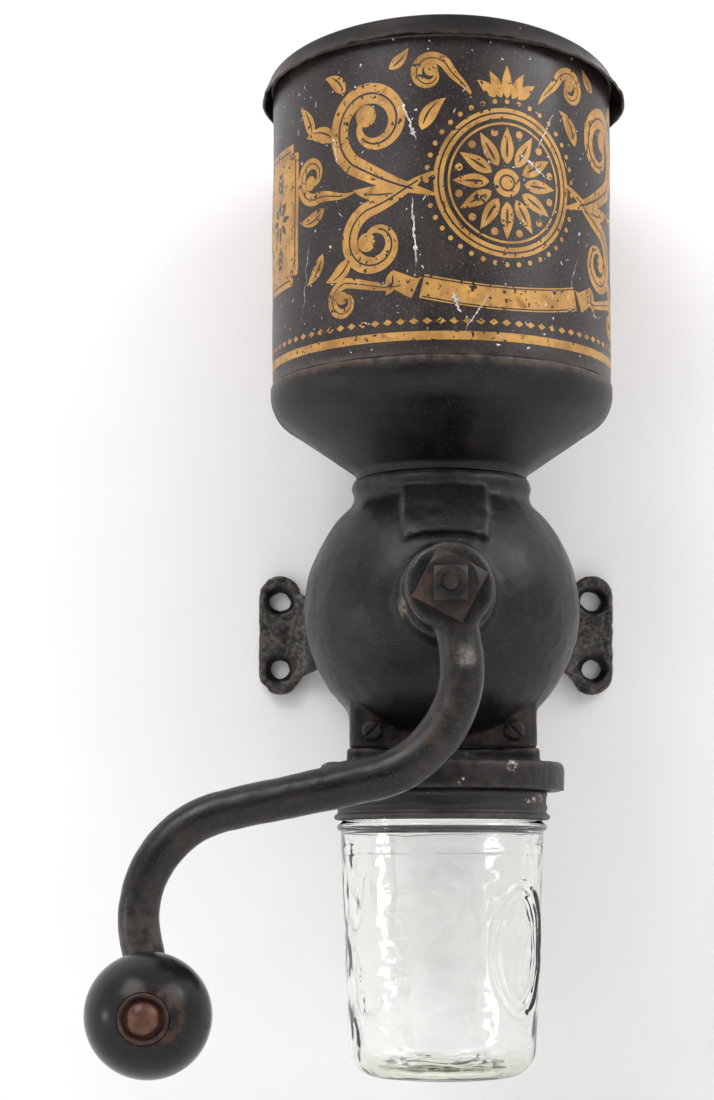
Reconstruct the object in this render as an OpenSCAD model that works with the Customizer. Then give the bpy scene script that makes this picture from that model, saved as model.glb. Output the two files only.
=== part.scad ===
// Wall mounted coffee mill: tin bean canister, cast hopper and ball body, hand crank, glass jar.
// Millimetres, +Z up, front towards -Y. The origin is on the wall, midway between the four screw holes.
// Inside at_mill() the origin moves to where the crank spindle crosses the mill's upright axis.

/* [Wall fixing] */
// Distance from the wall to the mill's upright axis
wall_reach = 77; // [77:0.5:90]
// Height of the spindle above the middle of the wall holes
spindle_rise = 3; // [0:0.5:8]
// Distance across between the wall holes
hole_span_x = 139; // [139:0.5:150]
// Distance up between the wall holes
hole_span_z = 30.4; // [26:0.2:36]
// Diameter of a wall hole
hole_d = 8.2; // [5:0.1:9]
// Diameter of the countersink round a wall hole
sink_d = 13.2; // [11:0.1:15]
// Thickness of the ears and of the straps that carry them
ear_t = 6; // [4.5:0.5:7]
// Width of an ear
ear_w = 19; // [18:0.5:22]
// Metal above the upper hole and below the lower hole
ear_margin = 11.4; // [11:0.2:14]
// Height of a strap where it leaves its ear
strap_h = 42; // [38:1:50]
// Height of a strap where it runs into the ball
strap_in_h = 30; // [26:1:36]
// Radius of the cove where a strap meets its ear
cove_r = 15; // [12:0.5:16]

/* [Ball body] */
// Outside diameter of the ball
ball_d = 114; // [112:0.5:118]
// Thickness of the ball's wall
ball_wall = 5; // [4:0.5:6]
// Diameter of the neck
neck_d = 73; // [70:0.5:76]
// Height of the top of the neck above the spindle
neck_top = 54; // [52:0.5:60]
// Thickness of the bead round the neck
bead_t = 7; // [5:0.5:8]
// How far the bead stands out from the neck
bead_proud = 1; // [0.5:0.1:2]
// Width of the raised pad below the bead
pad_w = 34; // [24:1:44]
// How far the pad stands out from the ball
pad_proud = 3; // [1.5:0.5:4]
// Height of the pad's lower edge above the spindle, in the middle
pad_low = 26; // [22:1:32]
// Radius of the curve of the pad's lower edge
pad_curve = 60; // [40:5:120]
// Diameter of the front bearing boss at its face
boss_d = 37; // [34:0.5:40]
// How much wider the boss is at the ball
boss_flare = 3; // [0:0.5:6]
// Distance of the boss's face in front of the axis
boss_face = 70.5; // [66:0.5:72]
// Diameter of the bearing tube inside the ball
bearing_d = 26; // [22:1:32]
// Distance of the bearing tube's inner end in front of the axis
bearing_end = 34; // [28:1:44]

/* [Spout] */
// Width of the spout
spout_w = 76.6; // [74:0.2:78]
// Distance of the spout's flat face in front of the axis
spout_front = 20; // [18:0.5:24]
// Distance of the back of the spout behind the axis
spout_back = 35; // [33:0.5:38]
// How far the foot of the spout hangs below the ball
spout_drop = 1; // [0.5:0.5:5]
// Radius of the spout's upright corners
spout_corner = 4; // [2:0.5:6]
// Thickness of the spout's walls
spout_wall = 4.5; // [3.5:0.5:5]
// Width of the passage that the grounds fall through
chute_w = 44; // [36:1:46]

/* [Burrs] */
// Diameter of the bore that holds the ring burr
burr_bore_d = 73; // [70:0.5:74]
// Distance of the bore's floor behind the axis
burr_floor = 4; // [3:0.5:6]
// Thickness of the partition in front of the ring burr
partition_t = 4; // [3:0.5:5]
// Thickness of the ring burr
ring_t = 12; // [10:0.5:14]
// Tooth tip diameter of the ring burr at its narrow front
ring_front_d = 38; // [36:0.5:40]
// Half angle of the burrs' cone, in degrees
burr_angle = 35; // [30:0.5:36]
// Distance between the teeth of the two burrs, straight out from the spindle
grind_gap = 1; // [0.9:0.05:1.4]
// Width of a tooth gap's square cutter on the ring burr
ring_cut = 3.2; // [2:0.1:3.6]
// Number of teeth on the ring burr
ring_teeth = 22; // [16:1:26]
// Width of a tooth gap's square cutter on the inner burr
cone_cut = 3.4; // [2:0.1:3.8]
// Number of teeth on the inner burr
cone_teeth = 15; // [10:1:18]
// Slant of the teeth, in degrees
tooth_slant = 14; // [0:1:18]
// Length of the breaker in front of the cone
breaker_l = 16; // [10:1:18]
// Diameter of the breaker's core
breaker_d = 22; // [19:0.5:26]
// Height of a breaker vane
vane_h = 6; // [3:0.5:7]
// Thickness of a breaker vane
vane_t = 4.5; // [3:0.5:6]
// Number of breaker vanes
vanes = 3; // [2:1:4]
// Diameter of the pin through the inner burr
pin_d = 4; // [3:0.5:5]

/* [Rear cover] */
// Distance of the cover's seat behind the axis
cover_seat = 36; // [34:0.5:37]
// How far the cover's edge stands out from the ring burr's bore
cover_rim = 6.5; // [6:0.1:7.5]
// Thickness of the cover's rim
cover_t = 4; // [3:0.5:5]
// Gap between the cover and a strap
strap_gap = 2; // [1:0.5:3]
// Depth of the cover's spigot in the bore
cover_spigot = 3; // [2:0.5:5]
// Diameter of the cover's raised middle
crown_d = 66; // [56:1:68]
// Height of the cover's raised middle
crown_h = 5; // [3:0.5:7]
// Diameter of the cover's boss
cover_boss_d = 27; // [25:0.5:32]
// Distance of the boss's end behind the axis
cover_boss_end = 61; // [59:0.5:62]
// Diameter of the thrust button
button_d = 18; // [16:0.5:19]
// Length of the thrust button
button_l = 12; // [10:0.5:13]
// Depth of the button's cup
button_cup = 8; // [5:0.5:9]
// Distance of the button's closed end behind the axis
button_end = 50; // [49:0.5:51]
// Thickness of the boss's end wall
boss_wall = 6; // [4:0.5:8]
// Diameter of the regulating screw
reg_d = 8; // [6:0.5:10]
// Width of the regulating screw's wings
wing_w = 24; // [18:1:30]
// Thickness of the wings
wing_t = 4; // [3:0.5:5]
// Length of the wings along the screw
wing_l = 8; // [7:0.5:9]
// Width of the square lock nut
lock_nut_w = 14; // [12:0.5:18]
// Thickness of the lock nut
lock_nut_t = 4; // [3:0.5:4.5]

/* [Spindle] */
// Diameter of the spindle
spindle_d = 12.7; // [11:0.1:14]
// Width of the square that drives the crank
square_w = 8.6; // [7:0.1:9]
// Diameter of the screwed stud end
stud_d = 6; // [5:0.1:6.5]
// How far the stud stands past its nut
stud_past = 2; // [1:0.5:4]

/* [Crank] */
// Distance of the arm's centre line in front of the axis
arm_out = 83; // [83:0.5:88]
// Arm radius near the hub
arm_r_hub = 8.7; // [7:0.1:9]
// Arm radius near the knob
arm_r_knob = 8; // [6.5:0.1:8.5]
// Hub diameter
hub_d = 34.4; // [32:0.2:36]
// Distance of the hub's front face in front of the axis
hub_front = 91; // [90:0.5:97]
// Direction in which the arm leaves the hub, in degrees from +X
arm_heading = -79.4; // [-90:0.2:-70]
// Straight run before the first bend
run_1 = 22.4; // [18:0.2:40]
// Radius of the first bend's centre line
bend_r_1 = 44; // [30:0.5:60]
// Angle of the first bend
turn_1 = 88.3; // [60:0.1:100]
// Straight run between the bends
run_2 = 56.5; // [30:0.5:80]
// Radius of the second bend's centre line
bend_r_2 = 42; // [30:0.5:60]
// Angle of the second bend
turn_2 = 89.7; // [60:0.1:100]
// Straight run to the knob
run_3 = 26.6; // [20:0.2:50]
// Width of the square washer
washer_w = 21.5; // [18:0.5:24]
// Thickness of the square washer
washer_t = 4.5; // [3:0.5:6]
// Turn of the square washer, in degrees
washer_turn = 28; // [0:1:45]
// Width of the square nut
nut_w = 12.9; // [11:0.1:16]
// Thickness of the square nut
nut_t = 4.5; // [3:0.5:7]

/* [Knob] */
// Diameter of the knob
knob_d = 46; // [38:0.5:50]
// Depth of the flat on the back of the knob
knob_flat = 0.8; // [0.4:0.1:1.5]
// Diameter of the seat on the arm behind the knob
knob_seat_d = 17; // [15:0.5:20]
// How far the seat stands out from the arm
knob_seat_h = 1; // [0.5:0.1:2]
// Diameter of the rivet
rivet_d = 7; // [5:0.5:8]
// Diameter of the rivet's round head
rivet_head_d = 11.8; // [10:0.2:14]
// Height of the rivet's round head
rivet_head_h = 3.6; // [2.5:0.1:4.5]
// Diameter of the cup washer
cup_d = 17.6; // [16:0.2:20]
// Thickness of the cup washer
cup_t = 1.2; // [0.8:0.1:1.6]
// Depth of the cup washer's rim
cup_h = 2.6; // [2:0.1:3.4]
// Depth of the recess in the front of the knob
recess_h = 4.2; // [3.5:0.1:6]

/* [Hopper] */
// Largest diameter of the hopper
hopper_d = 142.6; // [140:0.2:144]
// Thickness of the hopper's wall
hopper_wall = 4; // [3:0.5:4.5]
// Diameter of the hopper's foot on the neck
foot_d = 70.8; // [68:0.2:72]
// Radius of the fillet above the foot
foot_fillet = 4; // [2:0.5:6]
// Height of the foot's straight edge
foot_land = 0.5; // [0.3:0.1:2]
// Slope of the bowl, in degrees from level
bowl_slope = 34; // [30:0.5:40]
// Radius of the bowl's shoulder
shoulder_r = 15; // [10:0.5:20]
// Height of the upright rim above the shoulder
rim_h = 4; // [3:0.5:6]
// Rounding of the rim's outer edge
rim_round = 1.2; // [0.5:0.1:1.5]
// Height of the upstand inside the canister
upstand_h = 8; // [5:0.5:12]
// Inside diameter of the hopper's spigot
throat_d = 54; // [48:0.5:55]
// Outside diameter of the hopper's spigot
spigot_d = 62; // [60:0.5:63]
// Length of the hopper's spigot in the neck
spigot_l = 12; // [10:0.5:12]

/* [Canister] */
// How far the canister's side stands in from the hopper's rim
can_inset = 0.9; // [0.3:0.1:1.2]
// Height of the canister
can_h = 126.7; // [110:0.5:140]
// Thickness of the tinplate
tin_t = 0.6; // [0.5:0.05:0.8]
// Radius of the rolled edge at the top
can_curl = 1.1; // [0.8:0.1:1.4]
// Width of the folded seam up the back
seam_w = 6; // [4:0.5:8]
// How far the lid's flared rim stands out from the canister
lid_flare = 4.3; // [3.6:0.1:5.6]
// Height of the lid's skirt
skirt_h = 8; // [7:0.5:12]
// Rise of the lid's middle above its shoulder
lid_dome = 4; // [2:0.5:8]
// Radius of the lid's shoulder
lid_round = 2.2; // [1.5:0.1:3]
// Radius of the lid's rolled rim
lid_curl = 0.9; // [0.8:0.1:1.2]

/* [Outlet and jar lid] */
// Diameter of the round outlet plate
plate_d = 101; // [98:0.5:106]
// Thickness of the outlet plate
plate_t = 11.5; // [10:0.5:14]
// Rounding of the plate's upper edge
plate_round = 2.5; // [1:0.5:4]
// Depth of the recess that holds the jar lid
plate_recess = 5; // [3:0.5:6]
// Height of the step between the plate and the spout
collar_h = 5.5; // [4:0.5:7]
// How far the step stands out from the spout
collar_lip = 1; // [0.5:0.1:1.5]
// Diameter of the hole for the grounds
outlet_d = 62; // [60:0.5:63]
// Distance of the outlet screws from the spout's sides
outlet_screw_in = 9.3; // [8.5:0.1:10]
// Width of the lugs that the outlet screws hold
lug_w = 9; // [7.5:0.5:11]
// Distance of the outlet screws below the ball's outline
outlet_screw_drop = 1.9; // [1.5:0.1:3]
// Diameter of the outlet screws
outlet_screw_d = 4.4; // [3.5:0.1:5]
// Diameter of the jar lid
jar_lid_d = 87; // [86:0.2:88]
// Height of the jar lid
jar_lid_h = 17; // [15:0.5:19]
// How far the jar lid's rolled lip stands out
jar_lip = 1.2; // [0.8:0.1:1.4]
// Thickness of the jar lid's sheet
jar_lid_t = 0.8; // [0.6:0.1:1]
// Number of rivets in the jar lid
lid_rivets = 4; // [3:1:6]
// Diameter of a jar lid rivet
lid_rivet_d = 3; // [2.5:0.1:3.4]

/* [Glass jar] */
// Outside diameter of the jar's mouth
mouth_d = 82; // [81:0.2:83]
// Height of the jar's mouth above the ring
mouth_h = 17.2; // [16:0.2:19]
// Thickness of the ring round the jar, below the lid
ring_bead_t = 3.4; // [2.5:0.1:4]
// Diameter of the ring round the jar
ring_bead_d = 87.2; // [86:0.2:88]
// Diameter of the jar's body at the top
jar_top_d = 83.8; // [82:0.2:85]
// Diameter of the jar's body above the base corner
jar_low_d = 77.4; // [70:0.2:80]
// Height of the whole jar
jar_h = 121.6; // [110:0.2:130]
// Radius of the jar's base corner
jar_corner = 12; // [6:0.5:13]
// Thickness of the jar's wall
jar_wall = 3.2; // [2.5:0.1:4]
// Thickness of the jar's base
jar_base = 6; // [5:0.5:9]
// Depth of the hollow under the base
jar_hollow = 2.5; // [1:0.5:3]

/* [Screws and fits] */
// Diameter of the cover's and ring burr's screws
screw_d = 3.6; // [3:0.1:4]
// Number of screws in the rear cover
cover_screws = 3; // [3:1:6]
// Number of screws in the ring burr
ring_screws = 3; // [2:1:4]
// Radial clearance of a turning or sliding fit
run_gap = 0.06; // [0.03:0.01:0.09]
// Clearance of a fixed piece in its seat
seat_gap = 0.1; // [0.05:0.05:0.2]
// Clearance between pieces that lift off or turn past each other
lift_gap = 0.3; // [0.2:0.05:0.5]
// Clearance between the hub and the boss, for setting the grind
end_gap = 1.5; // [1.2:0.1:2.5]

/* [Hidden] */
$fn = 72;

// Past every outside face, for cuts that run right through
beyond = 200;
// Overlap of solids that are joined, and of a cut past the face that it opens
bite = 1;
// Proportions of screw heads and square nuts
head_ratio = 2;
head_h_ratio = 0.62;
head_top_ratio = 0.7;
slot_ratio = 0.26;
grip_ratio = 2.5;
face_chamfer = 1.5;
// How much slimmer a straight run of the crank is than the bends that it is let into
bend_step = 0.05;
// Points along the lid's dome and round the knob
dome_steps = 6;
knob_steps = 28;

// Ball and spout
ball_r = ball_d / 2;
chamber_r = ball_r - ball_wall;
neck_r = neck_d / 2;
bead_z = neck_top - bead_t / 2;
pad_r = ball_r + pad_proud;
socket_floor = neck_top - spigot_l - seat_gap;
chamber_back = burr_floor - partition_t;
burr_bore_r = burr_bore_d / 2;
chute_front = burr_floor + ring_t + bite;
chute_back = spout_back - spout_wall;
spout_low = ball_r + spout_drop;
spout_deep = spout_front + spout_back;
spout_mid = (spout_back - spout_front) / 2;

// Ears and straps
ear_front = wall_reach - ear_t;
ear_x = hole_span_x / 2;
ear_end = hole_span_z / 2 + ear_margin - ear_w / 2;
cover_d = burr_bore_d + 2 * cover_rim;
strap_x = cover_d / 2 + strap_gap;
cove_x = strap_x + ear_t + cove_r;
cove_y = ear_front - cove_r;

// Burrs and rear bearing
cone_rise = tan(burr_angle);
ring_back = burr_floor + ring_t;
ring_front_r = ring_front_d / 2;
ring_back_r = ring_front_r + ring_t * cone_rise;
cone_front_r = ring_front_r - grind_gap;
cone_back_r = cone_front_r + ring_t * cone_rise;
cut_l = ring_t / cos(burr_angle);
pin_y = burr_floor - breaker_l / 2;
ring_screw_r = (ring_back_r + burr_bore_r) / 2;
cover_screw_r = (burr_bore_r + cover_d / 2) / 2;
button_start = button_end - button_l;
spindle_end = button_start + button_cup - seat_gap;
wing_start = cover_boss_end + lock_nut_t + 2 * seat_gap + bite;

// Crank, along its centre line from the hub at the origin to the knob
function heading(a) = [cos(a), sin(a)];
hub_back = boss_face + end_gap;
nut_seat = hub_front + washer_t;
stud_end = nut_seat + nut_t + stud_past;
heading_2 = arm_heading - turn_1;
heading_3 = heading_2 + turn_2;
bend_1_start = run_1 * heading(arm_heading);
bend_1_mid = bend_1_start + bend_r_1 * heading(arm_heading - 90);
bend_1_end = bend_1_mid + bend_r_1 * heading(heading_2 + 90);
bend_2_start = bend_1_end + run_2 * heading(heading_2);
bend_2_mid = bend_2_start + bend_r_2 * heading(heading_2 + 90);
bend_2_end = bend_2_mid + bend_r_2 * heading(heading_3 - 90);
knob_at = bend_2_end + run_3 * heading(heading_3);

// Knob, measured forwards from the axis
knob_seat = arm_out + arm_r_knob + knob_seat_h;
knob_r = knob_d / 2;
knob_back = knob_seat + lift_gap;
knob_mid = knob_back + knob_r - knob_flat;
recess_floor = knob_mid + knob_r - recess_h;
cup_r = cup_d / 2;
rivet_head_seat = recess_floor + cup_t + lift_gap;
rivet_tail = arm_out - arm_r_knob;

// Hopper and canister, upwards from the spindle
hopper_r = hopper_d / 2;
slope_normal = [sin(bowl_slope), -cos(bowl_slope)];
foot_r = foot_d / 2;
fillet_mid = [foot_r + foot_fillet, neck_top + foot_land];
slope_top_r = hopper_r - shoulder_r * (1 - sin(bowl_slope));
slope_top_z = fillet_mid[1]
    + (foot_fillet - (fillet_mid[0] - slope_top_r) * sin(bowl_slope)) / cos(bowl_slope);
shoulder_mid = [hopper_r - shoulder_r, slope_top_z + shoulder_r * cos(bowl_slope)];
ledge_z = shoulder_mid[1] + rim_h;
bowl_in = shoulder_mid + (shoulder_r - hopper_wall) * slope_normal;
throat_r = throat_d / 2;
throat_z = bowl_in[1] - (bowl_in[0] - throat_r) * tan(bowl_slope);
can_r = hopper_r - can_inset;
can_top = ledge_z + can_h;
upstand_r = can_r - tin_t - 2 * seat_gap;
lid_under = can_top + lift_gap;
lid_in_r = can_r + can_curl + lift_gap;
lid_out_r = lid_in_r + tin_t;
lid_rim_z = lid_under + tin_t - skirt_h;
lid_curl_r = can_r + lid_flare - lid_curl;

// Outlet, jar lid and jar, downwards from the spindle
plate_top = -spout_low - collar_h;
plate_low = plate_top - plate_t;
jar_lid_top = plate_low + plate_recess;
jar_lid_r = jar_lid_d / 2;
jar_lid_low = jar_lid_top - jar_lid_h;
outlet_r = outlet_d / 2;
mouth_r = mouth_d / 2;
mouth_in_r = mouth_r - jar_wall;
mouth_top = jar_lid_top - jar_lid_t - lift_gap;
ring_z = mouth_top - mouth_h - ring_bead_t / 2;
jar_low = mouth_top - jar_h;
jar_top_r = jar_top_d / 2;
jar_low_r = jar_low_d / 2;
lid_rivet_r = (outlet_r + mouth_in_r) / 2;
lid_rivet_head = (mouth_in_r - outlet_r) / 2 - lift_gap;
outlet_screw_x = spout_w / 2 - outlet_screw_in;
outlet_screw_z = -sqrt(pow(ball_r, 2) - pow(outlet_screw_x, 2)) - outlet_screw_drop;
outlet_screw_l = spout_wall + 2 * outlet_screw_d;

// Points along an arc about mid, from angle a0 to angle a1
function arc(mid, r, a0, a1, steps = 8) =
    [for (i = [0:steps]) mid + r * heading(a0 + (a1 - a0) * i / steps)];

module at_mill() {
    translate([0, -wall_reach, spindle_rise]) children();
}

// Rod along Y, and a taper from d0 at y0 to d1 at y1
module rod(d, y0, y1) {
    translate([0, y0, 0]) rotate([-90, 0, 0]) cylinder(d = d, h = y1 - y0);
}

module taper(d0, d1, y0, y1) {
    translate([0, y0, 0]) rotate([-90, 0, 0]) cylinder(d1 = d0, d2 = d1, h = y1 - y0);
}

module block(low, high) {
    translate(low) cube(high - low);
}

// Copies in a ring round the spindle
module round_spindle(n, r) {
    for (i = [0:n - 1]) rotate([0, i * 360 / n, 0]) translate([0, 0, r]) children();
}

// Outline with round corners
module rounded(w, d, r) {
    square([w - 2 * r, d], center = true);
    square([w, d - 2 * r], center = true);
    for (x = [-1, 1], y = [-1, 1]) translate([x * (w / 2 - r), y * (d / 2 - r)]) circle(r);
}

// Slotted round-headed screw that points along +Y, with its head's seat at the origin
module screw(d, l) {
    head_d = head_ratio * d;
    head_h = head_h_ratio * d;
    slot = slot_ratio * d;
    rod(d, -bite, l);
    difference() {
        union() {
            rod(head_d, -head_h / 2, 0);
            taper(head_d * head_top_ratio, head_d, -head_h, -head_h / 2);
        }
        block([-head_d, -head_h - bite, -slot / 2], [head_d, -head_h / 2, slot / 2]);
    }
}

// Square piece along Y from y0 to y1, with its corners turned off round the end at y0
module square_piece(w, y0, y1) {
    intersection() {
        block([-w / 2, y0, -w / 2], [w / 2, y1, w / 2]);
        taper(w, w + 2 * (y1 - y0) * face_chamfer, y0, y1);
    }
}

// One ear, standing against the wall
module ear() {
    translate([ear_x, ear_front, -spindle_rise]) rotate([-90, 0, 0]) linear_extrude(ear_t) {
        square([ear_w, 2 * ear_end], center = true);
        for (s = [-1, 1]) translate([0, s * ear_end]) circle(d = ear_w);
    }
}

// Strap that coves up from the ear and narrows on its way forward into the ball
module strap() {
    run_x = strap_x + ear_t;
    translate([0, 0, -spindle_rise]) intersection() {
        linear_extrude(strap_h, center = true) {
            intersection() {
                translate([cove_x, cove_y]) difference() {
                    circle(cove_r + ear_t);
                    circle(cove_r);
                }
                translate([cove_x - cove_r - ear_t, cove_y]) square(cove_r + ear_t);
            }
            translate([strap_x, 0]) square([ear_t, cove_y + bite]);
        }
        rotate([90, 0, 0]) linear_extrude(2 * beyond, center = true) {
            square([2 * run_x, strap_in_h], center = true);
            polygon([[run_x, strap_in_h / 2], [cove_x, strap_h / 2],
                     [cove_x, -strap_h / 2], [run_x, -strap_in_h / 2]]);
        }
    }
}

module ear_hole() {
    rod(hole_d, 0, wall_reach + bite);
    taper(sink_d, hole_d, ear_front, ear_front + (sink_d - hole_d) / 2);
    rod(sink_d, ear_front - cove_r, ear_front);
}

// Raised pad below the bead, curved like the ball, with an arched lower edge
module pad() {
    difference() {
        intersection() {
            sphere(pad_r);
            block([-pad_w / 2, -pad_r, 0],
                  [pad_w / 2, -neck_r / 2, bead_z - bead_t / 2 + bead_proud]);
        }
        translate([0, 0, pad_low - pad_curve]) rod(2 * pad_curve, -beyond, 0);
    }
}

module spout_solid() {
    translate([0, spout_mid, -spout_low]) linear_extrude(spout_low)
        rounded(spout_w, spout_deep, spout_corner);
}

// Room inside the spout, up to the underside of the ball
module spout_room() {
    difference() {
        block([spout_wall - spout_w / 2, spout_wall - spout_front, -beyond],
              [spout_w / 2 - spout_wall, chute_back, 0]);
        sphere(ball_r);
        block([-beyond, chute_front, -neck_r], [beyond, beyond, beyond]);
    }
}

module bean_chamber() {
    difference() {
        intersection() {
            sphere(chamber_r);
            block([-beyond, -beyond, -beyond], [beyond, chamber_back, beyond]);
        }
        rod(bearing_d, -beyond, -bearing_end);
    }
    intersection() {
        cylinder(d = throat_d, h = neck_top);
        block([-beyond, -beyond, 0], [beyond, chamber_back, beyond]);
    }
}

// The whole hollow body, from which the two castings are parted
module body() {
    difference() {
        union() {
            difference() {
                union() {
                    sphere(ball_r);
                    taper(boss_d, boss_d + boss_flare, -boss_face, -chamber_r);
                }
                block([-beyond, cover_seat, -beyond], [beyond, beyond, beyond]);
            }
            cylinder(d = neck_d, h = neck_top);
            translate([0, 0, bead_z]) rotate_extrude()
                translate([neck_r + bead_proud - bead_t / 2, 0]) circle(d = bead_t);
            pad();
            spout_solid();
            for (side = [0, 1]) mirror([side, 0, 0]) {
                ear();
                difference() {
                    strap();
                    sphere(chamber_r);
                }
            }
        }
        bean_chamber();
        translate([0, 0, socket_floor]) cylinder(d = spigot_d + 2 * seat_gap, h = beyond);
        rod(burr_bore_d, burr_floor, cover_seat + bite);
        rod(cover_d + 2 * lift_gap, cover_seat, beyond);
        rod(ring_front_d, chamber_back - bite, burr_floor + bite);
        block([-chute_w / 2, chute_front, -beyond], [chute_w / 2, chute_back, 0]);
        spout_room();
        rod(spindle_d + 2 * run_gap, -beyond, 0);
        for (x = [-1, 1], z = [-1, 1])
            translate([x * ear_x, 0, z * hole_span_z / 2 - spindle_rise]) ear_hole();
        for (x = [-1, 1])
            translate([x * outlet_screw_x, 0, outlet_screw_z])
                rod(outlet_screw_d + 2 * seat_gap, -beyond, 0);
        round_spindle(cover_screws, cover_screw_r)
            rod(screw_d + 2 * seat_gap, cover_seat - grip_ratio * screw_d - bite, cover_seat + bite);
        round_spindle(ring_screws, ring_screw_r)
            rod(screw_d + 2 * seat_gap, chamber_back - bite, burr_floor + bite);
    }
}

// Front half of the body: bean chamber, boss, pad and the front of the neck and spout
module front_casting() {
    color([0.09, 0.09, 0.1]) at_mill() intersection() {
        body();
        block([-beyond, -beyond, -beyond], [beyond, chamber_back, beyond]);
    }
}

// Rear half of the body: burr bore, chute, straps, ears and the back of the neck and spout
module rear_casting() {
    color([0.1, 0.1, 0.11]) at_mill() intersection() {
        body();
        block([-beyond, chamber_back, -beyond], [beyond, beyond, beyond]);
    }
}

module hopper() {
    color([0.08, 0.08, 0.09]) at_mill() rotate_extrude() polygon(concat(
        [[spigot_d / 2, neck_top - spigot_l], [spigot_d / 2, neck_top], [foot_r, neck_top]],
        arc(fillet_mid, foot_fillet, 180, 90 + bowl_slope),
        arc(shoulder_mid, shoulder_r, bowl_slope - 90, 0),
        arc([hopper_r - rim_round, ledge_z - rim_round], rim_round, 0, 90, 4),
        [[upstand_r, ledge_z], [upstand_r, ledge_z + upstand_h]],
        [[hopper_r - hopper_wall, ledge_z + upstand_h]],
        arc(shoulder_mid, shoulder_r - hopper_wall, 0, bowl_slope - 90),
        [[throat_r, throat_z], [throat_r, neck_top - spigot_l]]));
}

module canister() {
    color([0.16, 0.13, 0.07]) at_mill() {
        rotate_extrude() polygon(concat(
            [[can_r - tin_t, ledge_z], [can_r, ledge_z]],
            arc([can_r, can_top - can_curl], can_curl, -90, 90),
            [[can_r - tin_t, can_top]]));
        intersection() {
            block([-seam_w / 2, 0, ledge_z], [seam_w / 2, beyond, can_top - 2 * can_curl]);
            rotate_extrude() translate([can_r - tin_t / 2, ledge_z]) square([1.5 * tin_t, can_h]);
        }
    }
}

// Point i of the lid's dome, counted from the middle, on a sheet that ends at height z
function dome_at(i, r, z) = [r * i / dome_steps, z + lid_dome * (1 - pow(i / dome_steps, 2))];

module canister_lid() {
    dome_r = lid_out_r - lid_round;
    lid_top = lid_under + tin_t;
    color([0.13, 0.1, 0.07]) at_mill() rotate_extrude() polygon(concat(
        [for (i = [0:dome_steps - 1]) dome_at(i, dome_r, lid_top)],
        arc([dome_r, lid_top - lid_round], lid_round, 90, 10),
        arc([lid_curl_r, lid_rim_z + lid_curl], lid_curl, 60, -180),
        arc([dome_r, lid_top - lid_round], lid_round - tin_t, 0, 90),
        [for (i = [dome_steps - 1:-1:0]) dome_at(i, dome_r, lid_under)]));
}

module spindle() {
    color([0.45, 0.43, 0.4]) at_mill() difference() {
        union() {
            rod(spindle_d, -hub_back, spindle_end);
            block([-square_w / 2, -hub_front + seat_gap, -square_w / 2],
                  [square_w / 2, -hub_back + bite, square_w / 2]);
            rod(stud_d, -stud_end, -hub_front + bite);
        }
        translate([0, pin_y, 0]) cylinder(d = pin_d + 2 * seat_gap, h = beyond, center = true);
    }
}

// Tooth gaps cut along a cone of radius r at its narrow end
module tooth_gaps(n, r, cut, slant) {
    for (i = [0:n - 1])
        translate([0, burr_floor, 0]) rotate([-90, 0, 0]) rotate([0, 0, i * 360 / n])
            translate([r, 0, 0]) rotate([0, burr_angle, 0]) translate([0, 0, cut_l / 2])
                rotate([slant, 0, 0]) rotate([0, 0, 45]) cube([cut, cut, 2 * cut_l], center = true);
}

module inner_burr() {
    core_front = burr_floor - breaker_l;
    color([0.35, 0.34, 0.33]) at_mill() difference() {
        union() {
            difference() {
                taper(2 * cone_front_r, 2 * cone_back_r, burr_floor, ring_back);
                tooth_gaps(cone_teeth, cone_front_r, cone_cut, tooth_slant);
            }
            rod(breaker_d, core_front, ring_back);
            round_spindle(vanes, breaker_d / 2) rotate([0, 0, tooth_slant])
                block([-vane_t / 2, core_front, -vane_t], [vane_t / 2, burr_floor - bite, vane_h]);
        }
        rod(spindle_d + 2 * seat_gap, -beyond, beyond);
        translate([0, pin_y, 0]) cylinder(d = pin_d + 2 * seat_gap, h = beyond, center = true);
    }
}

module burr_pin() {
    color([0.5, 0.5, 0.5]) at_mill() translate([0, pin_y, 0])
        cylinder(d = pin_d, h = breaker_d - bite, center = true);
}

module ring_burr() {
    color([0.33, 0.32, 0.31]) at_mill() difference() {
        rod(burr_bore_d - 2 * seat_gap, burr_floor, ring_back);
        taper(ring_front_d, 2 * ring_back_r, burr_floor, ring_back);
        tooth_gaps(ring_teeth, ring_front_r, ring_cut, -tooth_slant);
        round_spindle(ring_screws, ring_screw_r) rod(screw_d + 2 * seat_gap, 0, beyond);
    }
}

module ring_burr_screws() {
    color([0.5, 0.48, 0.45]) at_mill() round_spindle(ring_screws, ring_screw_r)
        translate([0, ring_back, 0]) mirror([0, 1, 0]) screw(screw_d, ring_t + partition_t - bite);
}

module rear_cover() {
    color([0.1, 0.1, 0.11]) at_mill() difference() {
        union() {
            rod(burr_bore_d - 2 * seat_gap, cover_seat - cover_spigot, cover_seat);
            rod(cover_d, cover_seat, cover_seat + cover_t);
            taper(crown_d, cover_boss_d, cover_seat + cover_t, cover_seat + cover_t + crown_h);
            rod(cover_boss_d, cover_seat, cover_boss_end);
        }
        rod(button_d + 2 * run_gap, 0, cover_boss_end - boss_wall);
        rod(reg_d + 2 * run_gap, 0, beyond);
        round_spindle(cover_screws, cover_screw_r) rod(screw_d + 2 * seat_gap, 0, beyond);
    }
}

module rear_cover_screws() {
    color([0.5, 0.48, 0.45]) at_mill() round_spindle(cover_screws, cover_screw_r)
        translate([0, cover_seat + cover_t, 0]) mirror([0, 1, 0])
            screw(screw_d, cover_t + grip_ratio * screw_d);
}

module thrust_button() {
    color([0.55, 0.52, 0.46]) at_mill() difference() {
        rod(button_d, button_start, button_end);
        rod(spindle_d + 2 * run_gap, 0, button_start + button_cup);
    }
}

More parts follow.
